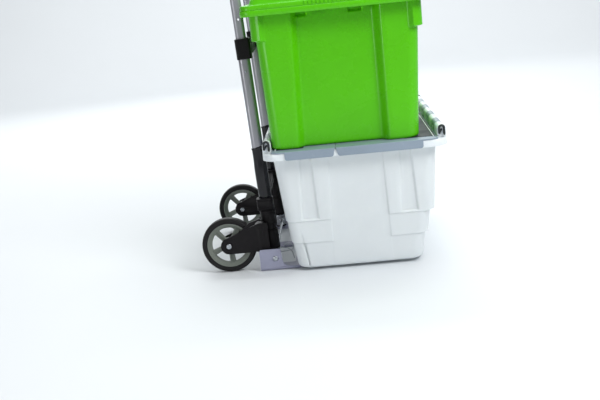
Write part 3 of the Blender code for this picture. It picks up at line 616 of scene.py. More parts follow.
def tub_stations(axis, z, reach):
    if axis == 1:
        a, b, c, d = tub_edges(z)
        (p, q), (r, s) = POCKETS
        knots = [-reach, -COLLAR_WRAP[0] - 0.0005, a, b, p + 0.011, q - 0.0012, q, r, r + 0.0012,
                 s - 0.0012, s, c, d, COLLAR_WRAP[0] + 0.0005, reach]
        return spaced(knots, (6, 6, 8, 2, 3, 1, 6, 1, 3, 1, 3, 8, 6, 6))
    a, b, c, d = END_FLUTES
    return spaced([-reach, -d, -c, -b, -a, a, b, c, d, reach], (4, 7, 6, 7, 5, 7, 6, 7, 4))


def tub_plain_inset(z):
    """Insets of the wall without its collar."""
    return blend(TUB_UNDER, TUB_BASE, (TUB_STEP_Z - z) / (TUB_STEP_Z - TUB_LOW.z))


def tub_inset(z):
    t = smooth_step((TUB_STEP_Z + 0.0015 - z) / 0.003)
    return blend(TUB_BAND, tub_plain_inset(z), t)


def tub_dent(axis, sign, s, z):
    if axis == 0:
        fade = smooth_step((TUB_STEP_Z - 0.010 - z) / 0.014)
        fade *= smooth_step((z - TUB_LOW.z - 0.004) / 0.014)
        return fade * trench(abs(s), END_FLUTES, 0.008)
    plain = 1 - smooth_step((abs(s) - COLLAR_WRAP[0]) / (COLLAR_WRAP[1] - COLLAR_WRAP[0]))
    push = plain * (tub_plain_inset(z)[2] - tub_inset(z)[2])
    push += trench(s, tub_edges(z), RECESS_DEPTH)
    height = smooth_step((z - POCKET_LOW) / (POCKET_HIGH - POCKET_LOW))
    for low, high in POCKETS:
        inside = smooth_step((s - low) / 0.0012) * smooth_step((high - s) / 0.0012)
        push += POCKET_DEPTH * height * inside
    return push


def make_tub():
    wall = BoxWall(TUB_MID, TUB_HALF, tub_stations, tub_dent)
    top, w = TUB_HIGH.z, TUB_WALL
    lip_low, wall_top = top - TUB_LIP, top - w
    heights = spaced([wall_top, POCKET_HIGH + 0.001, POCKET_LOW - 0.001, TUB_STEP_Z + 0.003,
                      TUB_STEP_Z - 0.003, TUB_STEP_Z - 0.030, TUB_LOW.z + 0.030,
                      TUB_LOW.z + TUB_FOOT_R], (3, 6, 3, 6, 7, 12, 8))
    rim = [
        (top, 0.0016, 0.021), (top - 0.0005, 0.0005, 0.0215), (top - 0.0016, 0.0, 0.022),
        (lip_low + 0.0008, 0.0, 0.022), (lip_low, 0.0006, 0.0215), (lip_low, w - 0.0004, 0.020),
        (lip_low + 0.0006, w, 0.020), (wall_top, w, 0.020),
    ]
    rings = wall.shell(tub_inset, heights, (TUB_LOW.z, TUB_FOOT_R, 6), top, TUB_CORNER_R, w, rim)
    tub = new_object("tub_shell_detail", skin("tub", rings))
    root = TUB_HALF[1] - tub_plain_inset(lip_low)[2] - 0.002
    out = TUB_HALF[1] - w - 0.0004
    tab = [(0.0, 0.0), (out - root, 0.0), (out - root, -0.0150), (out - root - 0.002, -0.0170),
           (0.0, -0.0210)]
    mesh = flat_mesh("tab", [tab], 0.0022, 0.0004)
    for side in (-1, 1):
        for _, pocket_end in POCKETS:
            place = at(TUB_MID[0] + (pocket_end + 0.001), side * root, wall_top + 0.0004)
            tub.data = combine("tub", tub.data, (mesh, place @ outwards(side)))
    dress(tub, "tub_shell", "green_plastic", 42)


def make_tub_lid():
    low, high = (corner.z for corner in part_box("tub_lid"))
    wall = BoxWall(TUB_MID, TUB_HALF, lambda axis, z, reach: spaced([-reach, reach], (8,)))
    sheet = 0.0022
    brim, step, groove = low + 0.0100, low + 0.0100 + 0.0126, 0.0022
    profile = [
        (low, 0.0024, 0.021), (low, 0.0018, 0.021), (low + 0.0006, 0.0015, 0.022),
        (brim - 0.0028, 0.0015, 0.022), (brim - 0.0008, 0.0024, 0.022), (brim, 0.0046, 0.021),
        (brim, 0.0118, 0.019), (brim - 0.0004, 0.0126, 0.019), (brim - 0.0016, 0.0134, 0.018),
        (brim - 0.0016, 0.0170, 0.018), (brim - 0.0010, 0.0182, 0.018),
        (brim + 0.0040, 0.0206, 0.019), (brim + 0.0100, 0.0226, 0.020),
        (brim + 0.0118, 0.0236, 0.020), (step, 0.0256, 0.020), (step, 0.0330, 0.018),
        (brim + 0.0130, 0.0340, 0.018), (high - 0.0008, 0.0366, 0.018), (high, 0.0386, 0.018),
        (high, 0.0520, 0.016), (high - 0.0004, 0.0530, 0.016), (high - groove, 0.0540, 0.016),
        (high - groove, 0.0610, 0.015), (high - 0.0004, 0.0620, 0.015), (high, 0.0630, 0.015),
        (high, 0.1200, 0.010),
    ]
    under = [
        (high - sheet - groove, 0.1200, 0.010), (high - sheet - groove, 0.0400, 0.016),
        (step - sheet, 0.0360, 0.017), (step - sheet, 0.0262, 0.018),
        (brim + 0.0040, 0.0232, 0.018), (brim - 0.0016 - sheet, 0.0205, 0.017),
        (brim - 0.0016 - sheet, 0.0110, 0.018), (brim - sheet, 0.0100, 0.018),
        (brim - sheet, 0.0046, 0.019), (low + 0.0006, 0.0040, 0.019), (low, 0.0034, 0.019),
    ]
    lid = new_object("tub_lid_detail", skin("tub_lid", wall.plain(profile[::-1] + under[::-1])))
    count, first, last = 15, -0.0625, 0.0555
    slots = []
    for side in (-1, 1):
        for i in range(count):
            x = TUB_MID[0] + mix(first, last, i / (count - 1))
            y = side * (TUB_HALF[1] - 0.0015)
            slots.append(box_mesh("slot", (x - 0.0014, y - 0.0016, low + 0.0012),
                                  (x + 0.0014, y + 0.0016, brim - 0.0005)))
    cut(lid, combine("slots", *slots))
    dress(lid, "tub_lid", "green_plastic", 38)


# ---- the crate -------------------------------------------------------------------------------
CRATE_LOW, CRATE_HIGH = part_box("crate_shell")
CRATE_MID = ((CRATE_LOW.x + CRATE_HIGH.x) / 2, 0.0)
CRATE_HALF = ((CRATE_HIGH.x - CRATE_LOW.x) / 2, CRATE_HIGH.y)
HINGE_X = {"rear": JOINTS["lid_rear_hinge"]["pos_m"][0],
           "front": JOINTS["lid_front_hinge"]["pos_m"][0]}
HINGE_Z = JOINTS["lid_rear_hinge"]["pos_m"][2]
KNUCKLE_R, PIN_R, KNUCKLES = 0.0095, 0.002, 9
CRATE_RIM_TOP, CRATE_RIM_LOW = 0.2815, 0.2665
CRATE_WALL = 0.0025
LEAF_THICK = 0.0032
SKIRT_LENGTH = {"rear": 0.109, "front": 0.187}
CRATE_RIM_R, CRATE_WALL_R = 0.036, 0.026
KNUCKLE_INSET = 0.026            # the first knuckle starts this far in from the rim
PANEL_SLOPE, FLUTE_SLOPE = 0.0045, 0.006    # widths of the sloping edges
# height, and the insets of the rear, front and side walls, which step in at two ledges
LEDGES = (
    (0.2790, (0.0195, 0.0220, 0.0220)), (0.1212, (0.0340, 0.0335, 0.0325)),
    (0.1180, (0.0365, 0.0440, 0.0350)), (0.0692, (0.0415, 0.0510, 0.0400)),
    (0.0660, (0.0440, 0.0575, 0.0425)), (0.0058, (0.0520, 0.0660, 0.0500)),
)


def crate_inset(z):
    if z >= LEDGES[0][0]:
        return LEDGES[0][1]
    for (z0, i0), (z1, i1) in zip(LEDGES, LEDGES[1:]):
        if z >= z1:
            return blend(i1, i0, (z - z1) / (z0 - z1))
    return LEDGES[-1][1]


def crate_panel_inset(z):
    """Insets of the flat panel in the middle of each wall, which has no ledges."""
    top, middle, base = (0.0215, 0.0240, 0.0242), (0.0372, 0.0410, 0.0358), (0.0515, 0.0655, 0.0495)
    bend_z = (LEDGES[1][0] + LEDGES[2][0]) / 2
    if z > bend_z:
        return blend(middle, top, min(1.0, (z - bend_z) / (LEDGES[0][0] - bend_z)))
    return blend(base, middle, max(0.0, (z - CRATE_LOW.z) / (bend_z - CRATE_LOW.z)))


def crate_edges(axis, z):
    """Edges of the two flutes and the panel on one half of a wall, from the middle outwards."""
    t = min(1.0, max(0.0, (0.250 - z) / (0.250 - 0.121)))
    panel = mix(0.0620, 0.0690, min(1.0, max(0.0, (0.250 - z) / 0.240)))
    if axis == 1:
        return panel, mix(0.0935, 0.0885, t), mix(0.1240, 0.1310, t)
    return panel + 0.036, 0.1420, mix(0.1760, 0.1830, t)


def crate_stations(axis, z, reach):
    panel, flute_in, flute_out = crate_edges(axis, z)
    right = spaced([0.0, panel - PANEL_SLOPE, panel, flute_in, flute_in + FLUTE_SLOPE,
                    flute_out - FLUTE_SLOPE, flute_out, reach], (5, 5, 3, 5, 3, 5, 4))
    return [-s for s in reversed(right[1:])] + right


def crate_dent(axis, sign, s, z):
    panel, flute_in, flute_out = crate_edges(axis, z)
    here = abs(s)
    edges = (flute_in, flute_in + FLUTE_SLOPE, flute_out - FLUTE_SLOPE, flute_out)
    flute = trench(here, edges, 0.0042)
    flute *= smooth_step((z - 0.1215) / 0.004) * smooth_step((0.272 - z) / 0.012)
    middle = 1 - smooth_step((here - panel + PANEL_SLOPE) / PANEL_SLOPE)
    fade = smooth_step((0.274 - z) / 0.012)
    which = 2 if axis == 1 else (1 if sign > 0 else 0)
    return flute + middle * fade * (crate_panel_inset(z)[which] - crate_inset(z)[which])


def knuckle_spans(lid):
    """Low and high Y of each hinge knuckle on the crate, or on its lid leaf."""
    length = 2 * (CRATE_HALF[1] - KNUCKLE_INSET)
    pitch = length / KNUCKLES
    first = -length / 2
    return [(first + i * pitch + GAP, first + (i + 1) * pitch - GAP)
            for i in range(KNUCKLES) if (i % 2 == 1) == lid]


def pin_hole(end_name):
    return circle(PIN_R + GAP, (HINGE_X[end_name], HINGE_Z), 16)


def make_crate():
    wall = BoxWall(CRATE_MID, CRATE_HALF, crate_stations, crate_dent)
    top, w, low, rim_r = CRATE_RIM_TOP, CRATE_WALL, CRATE_LOW.z, CRATE_RIM_R
    foot_r, rim_low = 0.009, CRATE_RIM_LOW
    heights = spaced([top - w, 0.262, 0.250, 0.127, 0.1212, 0.1180, 0.1150, 0.0720, 0.0692,
                      0.0660, 0.0630, low + foot_r], (3, 6, 12, 6, 4, 2, 4, 2, 4, 2, 5))
    rim = [
        (top, 0.0016, rim_r - 0.0010), (top - 0.0005, 0.0005, rim_r - 0.0005),
        (top - 0.0016, 0.0, rim_r), (rim_low + 0.0010, 0.0, rim_r),
        (rim_low + 0.0003, 0.0003, rim_r - 0.0005), (rim_low, 0.0010, rim_r - 0.0010),
        (rim_low, w - 0.0004, rim_r - 0.0020), (rim_low + 0.0006, w, rim_r - w),
        (top - w, w, rim_r - w),
    ]
    rings = wall.shell(crate_inset, heights, (low, foot_r, 5), top, CRATE_WALL_R, w, rim)
    meshes = [skin("crate", rings)]
    foot_z = top - 0.0006
    for end_name, x in HINGE_X.items():
        for y0, y1 in knuckle_spans(lid=False):
            outline = arc((x, HINGE_Z), KNUCKLE_R, 0, 180, 14)
            outline += [(x - KNUCKLE_R, foot_z), (x + KNUCKLE_R, foot_z)]
            block = flat_mesh("knuckle", [outline, pin_hole(end_name)], y1 - y0, 0.0009)
            meshes.append((block, at(0, (y0 + y1) / 2, 0) @ STAND_IN_XZ))
    crate = new_object("crate_shell_detail", combine("crate", *meshes))
    dress(crate, "crate_shell", "milky_plastic", 42)


def leaf_outline(name, end):
    """X of a leaf's hinge side, and the zigzag edge where the two leaves meet."""
    reach, fingers, slope = 0.041, 5, 0.012
    half = CRATE_HALF[1]
    step = 2 * half / fingers
    edge = []
    for k in range(fingers):
        sign = -1 if k % 2 == 0 else 1
        low = -half + k * step
        x = CRATE_MID[0] + sign * reach + end * 0.0006
        edge.append((x, low + (slope if k else 0)))
        edge.append((x, low + step - (slope if k < fingers - 1 else 0)))
    return HINGE_X[name] - end * (KNUCKLE_R + GAP), edge


def make_leaf(name, end):
    node = f"crate_lid_{name}"
    low, high = CRATE_RIM_TOP + GAP, CRATE_RIM_TOP + GAP + LEAF_THICK
    hinge_side, edge = leaf_outline(name, end)
    half = CRATE_HALF[1]
    corner_x, corner_y = hinge_side - end * 0.014, half - 0.009
    corners = [(hinge_side, -corner_y), (corner_x, -half)] + edge
    corners += [(corner_x, half), (hinge_side, corner_y)]
    radii = [0.004, 0.004, 0.001] + [0.004] * (len(edge) - 2) + [0.001, 0.004, 0.004]
    leaf = new_object(f"{node}_detail",
                      raised("leaf", [rounded(corners, radii)], low, high, 0, 0.0005))
    notch = 0.005
    for side in (-1, 1):
        near_x = edge[0][0] if side < 0 else edge[-1][0]
        x0, x1 = sorted((near_x, near_x + end * SKIRT_LENGTH[name]))
        low_0, low_1 = (x0, x1 - notch) if end < 0 else (x0 + notch, x1)
        outline = rounded([(low_0, CRATE_RIM_LOW), (low_1, CRATE_RIM_LOW), (x1, high), (x0, high)],
                          [0.006, 0.006, 0.003, 0.003])
        skirt = flat_mesh("skirt", [outline], 0.0022, 0.0006)
        join(leaf, skirt, at(0, side * (half + 0.0014), 0) @ STAND_IN_XZ)
        join(leaf, box_mesh("fold", (x0 + 0.003, side * half - 0.0025, low + 0.0006),
                            (x1 - 0.003, side * half + 0.0015, high - 0.0006)))
    x_mid = (hinge_side + CRATE_MID[0] + end * 0.045) / 2
    groove_half, pitch = (0.042, 0.003), 0.072
    grooves = [
        box_mesh("groove", (x_mid - groove_half[0], k * pitch - groove_half[1], high - 0.0008),
                 (x_mid + groove_half[0], k * pitch + groove_half[1], high + 0.001))
        for k in range(-3, 4)
    ]
    cut(leaf, combine("grooves", *grooves))
    x, parts = HINGE_X[name], []
    web = sorted((x - end * (KNUCKLE_R - 0.0042), hinge_side - end * 0.0035))
    bracket = [(web[0], low + 0.0004), (web[1], low + 0.0004), (web[1], high - 0.0004),
               (x - end * (KNUCKLE_R - 0.0002), HINGE_Z), (x - end * 0.0055, HINGE_Z)]
    eye = [circle(KNUCKLE_R, (x, HINGE_Z), 32), pin_hole(name)]
    for y0, y1 in knuckle_spans(lid=True):
        place = at(0, (y0 + y1) / 2, 0) @ STAND_IN_XZ
        parts.append((flat_mesh("eye", eye, y1 - y0, 0.0009), place))
        parts.append((flat_mesh("bracket", [bracket], y1 - y0 - 0.0012, 0.0003), place))
    leaf.data = combine("leaf", leaf.data, *parts)
    dress(leaf, node, "lid_plastic", 38)
    # Painted shade: a dark grey sheet along the hinge side of the leaf darkens the strip of lid next to the hinge,
    # where shade falls.
    x0, x1 = sorted((hinge_side - end * 0.0040, hinge_side - end * 0.0700))
    panel = rounded_box((x1 - x0) / 2, half - 0.030, 0.004, centre=((x0 + x1) / 2, 0))
    piece(node, flat_mesh("panel", [panel], 0.0008, 0.0002), "dark_grey_plastic", 38,
          place=at(0, 0, high + 0.0003), suffix="panel")
    # Painted highlight: the thin raised rib beside the hinge is coloured white, to stand for the light caught
    # along its edge on the blue-grey lid.
    ridge = rounded_box(0.0009, half - 0.020, 0.0008)
    piece(node, flat_mesh("ridge", [ridge], 0.0018, 0.0003), "milky_plastic", 38,
          place=at(hinge_side - end * 0.0085, 0, high + 0.0012), suffix="ridge")


def make_hinge_rod(name):
    """A rod through the knuckles. Each end is bent into a thick upright loop."""
    node = f"crate_hinge_pin_{name}"
    x, z = HINGE_X[name], HINGE_Z
    reach = CRATE_HALF[1] - KNUCKLE_INSET
    half_eye, top, foot, thick = 0.0052, 0.0095, -0.0105, 0.0026

    def loop(side):
        y = side * (reach + thick + 0.0012)
        points = [(x, side * reach, z),
                  (x - half_eye * 0.7, side * (reach + 0.0012), z + foot * 0.5),
                  (x - half_eye, y, z + foot * 0.6), (x - half_eye, y, z + top - half_eye)]
        points += [(px, y, pz) for px, pz in arc((x, z + top - half_eye), half_eye, 150, 0, 5)]
        points += [(x + half_eye, y, z + foot + 0.002), (x + half_eye - 0.0015, y, z + foot)]
        return smooth_path(points, 4)

    near, far = loop(-1), loop(1)
    radii = [mix(PIN_R * 0.9, thick, smooth_step(k / 10)) for k in range(len(far))]
    path = [Vector(p) for p in reversed(near)] + far
    rod = tube_mesh("rod", path, PIN_R, 14, radii[::-1] + radii)
    piece(node, rod, "dark_grey_plastic", 60)


# ---- uprights and what is fixed to them --------------------------------------------------------
TUBE_BORE = (0.0276, 0.0186)            # length and width of a bore round an outer tube
TUBE_WALL = 0.0012
LATCH_Z = 0.507                         # height of the latch rods, along the uprights
LOCK_HEIGHTS = (0.569, 0.712, 0.917)    # further lock holes in the inner tubes


def clear_bore(node):
    """Outline of a hole that a tube node fits in."""
    low, high = lean_box(node)
    return flat_oval(high.x - low.x + 2 * GAP, high.y - low.y + 2 * GAP)


def make_tubes(side_name, side):
    """An outer tube, and an inner one drilled for the latch at four heights."""
    y = side * UPRIGHT_Y
    (_, _, latch_z), (_, _, latch_half) = lean_span(f"latch_rod_{side_name}")
    for stem, bevel, holes in (("outer_tube", 0.0004, ()),
                               ("inner_tube", 0.0003, (latch_z, *LOCK_HEIGHTS))):
        node = f"{stem}_{side_name}"
        low, high = lean_box(node)
        size = high.x - low.x, high.y - low.y
        outlines = [flat_oval(*size), flat_oval(*[d - 2 * TUBE_WALL for d in size])]
        tube = new_object(f"{node}_detail", raised(stem, outlines, low.z, high.z, y, bevel))
        for z in holes:
            hole_r = latch_half + GAP
            cut(tube, solid_turned("drill", [(hole_r, -0.012), (hole_r, 0.012)], 20), at(0, y, z))
        dress(tube, node, "aluminium", 40, leaning=True)


def make_stop_rivet(side_name, side):
    node = f"tube_stop_rivet_{side_name}"
    low, high = lean_box(node)
    (_, _, z), (r, _, _) = lean_span(node)
    y0, y1 = (low.y, high.y) if side > 0 else (high.y, low.y)
    depth = y1 - y0
    profile = [(r, y0), (r, y0 + depth * 0.25), (r * 0.86, y0 + depth * 0.7),
               (r * 0.55, y1), (r * 0.45, y1), (r * 0.40, y0 + depth * 0.5)]
    piece(node, solid_turned("rivet", profile, 24), "zinc_steel", 50, leaning=True,
          place=at(0, 0, z))


def lofted_oval(rows, flat_rows):
    """Rings round an upright: flat ovals first, and then rounder ones.

    Each row is (length, width, function of x that gives z).
    """
    rings = []
    for i, (length, width, height) in enumerate(rows):
        ring = []
        for x, y in flat_oval(length, width):
            if i >= flat_rows:
                angle = math.atan2(y / width, x / length)
                x, y = length / 2 * math.cos(angle), width / 2 * math.sin(angle)
            ring.append((x, y, height(x)))
        rings.append(ring)
    return rings


def make_sleeve(side_name, side):
    """Glossy sleeve, swollen below its mouth, which has a rolled lip that rises to the front."""
    node = f"lower_sleeve_{side_name}"
    low, high = lean_box(node)
    length, width = high.x - low.x, high.y - low.y

    def flat(z):
        return lambda x: z

    def mouth(drop):
        return lambda x: high.z - drop - 0.0062 * (high.x - x) / length

    rows = [(*TUBE_BORE, flat(low.z)), (*TUBE_BORE, flat(0.250)), (*TUBE_BORE, mouth(0.0040))]
    rows += [
        (length - less_x, width - less_y, height) for less_x, less_y, height in (
            (0.0024, 0.0022, mouth(0.0006)), (0.0012, 0.0012, mouth(0.0)),
            (0.0, 0.0003, mouth(0.0010)), (0.0, 0.0003, mouth(0.0026)),
            (0.0018, 0.0018, mouth(0.0040)), (0.0021, 0.0026, mouth(0.0064)),
            (0.0021, 0.0026, flat(0.2560)), (0.0016, 0.0018, flat(0.2470)),
            (0.0003, 0.0005, flat(0.2360)), (0.0, 0.0, flat(0.2280)), (0.0, 0.0, flat(0.2150)),
            (0.0003, 0.0004, flat(0.2020)), (0.0009, 0.0012, flat(0.1880)),
            (0.0012, 0.0016, flat(0.1760)), (0.0012, 0.0012, flat(low.z + 0.0012)),
            (0.0022, 0.0022, flat(low.z)))
    ]
    piece(node, skin("sleeve", lofted_oval(rows, 3), closed_stack=True), "gloss_black_plastic", 50,
          leaning=True, place=at(0, side * UPRIGHT_Y, 0))


def make_pivot(side_name, side):
    """Bearing barrel that an arm swings on, and the washer below it."""
    node = f"pivot_bush_{side_name}"
    low, high = lean_box(node)
    r = (high.x - low.x) / 2
    z0, z1, chamfer = low.z, high.z, 0.0008
    bore = flat_oval(*TUBE_BORE)
    rings = [[(x, y, z0) for x, y in bore]]
    for radius, z in ((r - chamfer, z0), (r, z0 + chamfer), (r, z1 - chamfer), (r - chamfer, z1)):
        angles = [math.atan2(y / TUBE_BORE[1], x / TUBE_BORE[0]) for x, y in bore]
        rings.append([(radius * math.cos(a), radius * math.sin(a), z) for a in angles])
    rings.append([(x, y, z1) for x, y in bore])
    piece(node, skin("bush", rings, closed_stack=True), "black_plastic", 40, leaning=True,
          place=at(0, side * UPRIGHT_Y, 0))
    node = f"thrust_washer_{side_name}"
    low, high = lean_box(node)
    outlines = [circle((high.x - low.x) / 2), bore]
    piece(node, raised("washer", outlines, low.z, high.z, side * UPRIGHT_Y, 0.0004), "zinc_steel",
          leaning=True)


def make_lower_crossbar():
    (mid_x, _, middle), (half_x, _, half_z) = lean_span("lower_crossbar")
    bar_half, half_y, corner_r, band_z = 0.009, 0.0140, 0.006, 0.0080
    bar = new_object("lower_crossbar_detail",
                     box_mesh("bar", (-0.017, -UPRIGHT_Y, middle - bar_half),
                              (0.001, UPRIGHT_Y, middle + bar_half)))

    def block(more):
        return rounded_box(half_x + more, half_y + more, corner_r + more, centre=(mid_x, 0))

    for side in (-1, 1):
        join(bar, flat_mesh("block", [block(0)], 2 * half_z), at(0, side * UPRIGHT_Y, middle))
    for side in (-1, 1):
        cut(bar, flat_mesh("hole", [flat_oval(*TUBE_BORE)], 4 * half_z),
            at(0, side * UPRIGHT_Y, middle))
        band = flat_mesh("band", [block(0.002), block(-0.0007)], 0.0018)
        for dz in (band_z, -band_z):
            cut(bar, band, at(0, side * UPRIGHT_Y, middle + dz))
    soften(bar, 0.0006)
    dress(bar, "lower_crossbar", "black_plastic", 40, leaning=True)


def make_collar(side_name, side):
    node = f"top_collar_{side_name}"
    low, high = lean_box(node)
    (mid_x, _, _), (hx, hy, _) = lean_span(node)
    y = side * UPRIGHT_Y
    outer = rounded_box(hx, hy, 0.005, centre=(mid_x, 0))
    outlines = [outer, clear_bore(f"inner_tube_{side_name}")]
    collar = new_object(f"{node}_detail", raised("collar", outlines, low.z, high.z, y, 0.0010, 3))
    tube = f"outer_tube_{side_name}"
    tube_top = lean_box(tube)[1].z
    cut(collar, flat_mesh("seat", [clear_bore(tube)], 0.040), at(0, y, tube_top - 0.0197))
    face_y = y + side * hy
    for x in (mid_x - 0.0070, mid_x, mid_x + 0.0070):
        cut(collar, box_mesh("groove", (x - 0.0008, face_y - 0.0004, low.z + 0.008),
                             (x + 0.0008, face_y + 0.0004, high.z - 0.008)))
    y0, y1 = sorted((side * (UPRIGHT_Y - hy - 0.002), y))
    cut(collar, solid_turned("latch_hole", [(0.0028, y0), (0.0028, y1)], 20), at(0, 0, LATCH_Z))
    dress(collar, node, "black_plastic", 40, leaning=True)


def make_upper_crossbar():
    low, high = lean_box("upper_crossbar")
    bar = new_object("upper_crossbar_detail", box_mesh("bar", low, high))
    soften(bar, 0.003, 4)
    clear = 0.0032
    cut(bar, box_mesh("channel", (-clear, low.y - 0.01, LATCH_Z - clear),
                      (clear, high.y + 0.01, LATCH_Z + clear)))
    button_low, button_high = lean_box("release_button")
    cut(bar, box_mesh("pocket", (button_low.x - GAP, button_low.y - GAP, 0.4872),
                      (button_high.x + GAP, button_high.y + GAP, 0.530)))
    for side in (-1, 1):
        for y in (0.060, 0.085, 0.110):
            for x in (low.x, high.x):
                cut(bar, box_mesh("flute", (x - 0.0006, side * y - 0.009, low.z + 0.008),
                                  (x + 0.0006, side * y + 0.009, high.z - 0.008)))
    dress(bar, "upper_crossbar", "black_plastic", 40, leaning=True)
    button = new_object("release_button_detail", box_mesh("button", button_low, button_high))
    soften(button, 0.0022, 4)
    for k in range(-2, 3):
        y = k * 0.005
        cut(button, box_mesh("rib", (button_low.x - 0.01, y - 0.0005, button_high.z - 0.0007),
                             (button_high.x + 0.01, y + 0.0005, button_high.z + 0.001)))
    dress(button, "release_button", "dark_grey_plastic", 40, leaning=True)


def make_button_spring():
    """Coil under the release button."""
    node = "button_spring"
    low, high = lean_box(node)
    wire_r, turns, per_turn = 0.0005, 3, 24
    coil_r = (high.x - low.x) / 2 - wire_r
    points = []
    for i in range(turns * per_turn + 1):
        angle = 2 * math.pi * i / per_turn
        z = mix(low.z + wire_r, high.z - wire_r, i / (turns * per_turn))
        points.append((coil_r * math.cos(angle), coil_r * math.sin(angle), z))
    coil = piece(node, tube_mesh("coil", points, wire_r, 10), "zinc_steel", 60, leaning=True)
    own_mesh(coil)


# ---- the telescopic handle -----------------------------------------------------------------------
def make_elbow(side_name, side, bar_z, bar_r):
    """Bent corner of the handle, with a socket for the tube and one for the bar."""
    node = f"handle_elbow_{side_name}"
    low, _ = lean_box(node)
    elbow_r, bend_r, end_r, inner_y = 0.0125, 0.022, 0.0125 - 0.0012, 0.118
    corner = (side * (UPRIGHT_Y - bend_r), bar_z - bend_r)
    path = [(0, side * UPRIGHT_Y, z) for z in (low.z, low.z + 0.0012, low.z + 0.006)]
    path += [(0, y, z) for y, z in arc(corner, bend_r, 0 if side > 0 else 180, 90, 12)]
    path += [(0, side * (inner_y + more), bar_z) for more in (0.006, 0.0012, 0.0)]
    radii = [end_r] + [elbow_r] * (len(path) - 2) + [end_r]
    elbow = new_object(f"{node}_detail", tube_mesh("elbow", path, elbow_r, 32, radii))
    tube = f"inner_tube_{side_name}"
    cut(elbow, flat_mesh("socket", [clear_bore(tube)], 0.050),
        at(0, side * UPRIGHT_Y, lean_box(tube)[1].z + GAP - 0.025))
    bore = solid_turned("bore", [(bar_r + GAP, -0.020), (bar_r + GAP, 0.0142)], 32)
    if side < 0:
        bore.transform(Matrix.Rotation(math.pi, 4, "Z"))
    cut(elbow, bore, at(0, side * inner_y, bar_z))
    dress(elbow, node, "black_plastic", 40, leaning=True)


def make_handle():
    low, high = lean_box("handle_bar")
    (_, _, bar_z), (_, _, bar_r) = lean_span("handle_bar")
    for side_name, side in SIDES:
        make_elbow(side_name, side, bar_z, bar_r)
    ends, place = 0.0006, at(0, 0, bar_z)
    rod = solid_turned("bar", [(bar_r - ends, low.y), (bar_r, low.y + ends),
                               (bar_r, high.y - ends), (bar_r - ends, high.y)], 40)
    piece("handle_bar", rod, "aluminium", leaning=True, place=place)
    _, half, r = lean_span("handle_grip")[1]
    ribs, depth = 30, 0.0009
    outer = [(r - 0.0014, -half), (r - 0.0003, -half + 0.0008), (r, -half + 0.0020),
             (r, -half + 0.0100)]
    start, pitch = -half + 0.0120, (2 * half - 0.024) / ribs
    for i in range(ribs):
        y = start + i * pitch
        outer += [(r - depth, y), (r - depth, y + pitch * 0.25), (r, y + pitch * 0.45),
                  (r, y + pitch * 0.80)]
    outer += [(r - depth, half - 0.0120), (r, half - 0.0100), (r, half - 0.0020),
              (r - 0.0003, half - 0.0008), (r - 0.0014, half)]
    profile = [(bar_r + GAP, -half)] + outer + [(bar_r + GAP, half)]
    piece("handle_grip", turned_mesh("grip", profile, 48), "grip_rubber", 45, leaning=True,
          place=place)


# ---- the toe plate, its hinge and its springs ---------------------------------------------------
TOE_SHEET = 0.0025
TOE_WINDOW_X, TOE_WINDOW_Y = (-0.018, 0.048), (0.022, 0.158)
TOE_RIBS_Y = (-0.105, -0.035, 0.035, 0.105)


def make_toe_plate():
    low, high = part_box("toe_plate")
    rear, front, half, cheek_top = low.x, high.x, high.y, high.z
    bend_r, bend_end = 0.006, 0.0590
    nose_half, taper_x, corner_r = 0.150, 0.105, 0.020
    nose = (front - corner_r, nose_half - corner_r)
    right = [(rear, bend_r - half), (taper_x, bend_r - half), (nose[0] - 0.008, -nose_half - 0.004)]
    outline = mirrored(right + arc((nose[0], -nose[1]), corner_r, -80, 0, 10))
    plate = new_object("toe_plate_detail",
                       raised("sheet", [outline], 0.0, TOE_SHEET, bevel=0.0004))
    (x0, x1), (y0, y1) = TOE_WINDOW_X, TOE_WINDOW_Y
    ribs = x1 + 0.007, front - 0.023
    rib = flat_mesh("rib", [rounded_box((ribs[1] - ribs[0]) / 2, 0.0058, 0.0056)], 0.0048, 0.0016, 3)
    for y in TOE_RIBS_Y:
        join(plate, rib, at(sum(ribs) / 2, y, 0.0031))
    window = rounded_box((x1 - x0) / 2, (y1 - y0) / 2, 0.006)
    for side in (-1, 1):
        cut(plate, flat_mesh("window", [window], 4 * TOE_SHEET),
            at((x0 + x1) / 2, side * (y0 + y1) / 2, 0))
    section = [(-0.001, 0.0)] + arc((0, bend_r), bend_r, -90, 0, 8)
    section += [(bend_r, bend_r + 0.001), (bend_r - TOE_SHEET, bend_r + 0.001)]
    section += arc((0, bend_r), bend_r - TOE_SHEET, 0, -90, 8) + [(-0.001, TOE_SHEET)]
    cheek = rounded(
        [(rear, bend_r), (0.0585, bend_r), (0.0575, 0.0080), (0.0310, 0.0092), (0.0225, 0.0140),
         (0.0200, 0.0250), (0.0185, cheek_top), (rear + 0.0002, cheek_top)],
        [0, 0, 0.001, 0.006, 0.006, 0.006, 0.004, 0.005])
    hole = circle(BOLT_BORE_R, (TOE_HINGE.x, TOE_HINGE.z), 24)
    for side in (-1, 1):
        join(plate, flat_mesh("bend", [section], bend_end - rear),
             at((bend_end + rear) / 2, side * (half - bend_r), 0) @ outwards(side))
        join(plate, flat_mesh("cheek", [cheek, hole], TOE_SHEET),
             at(0, side * (half - TOE_SHEET / 2), 0) @ STAND_IN_XZ)
    soften(plate, 0.0004, 1)
    dress(plate, "toe_plate", "grey_paint", 35)


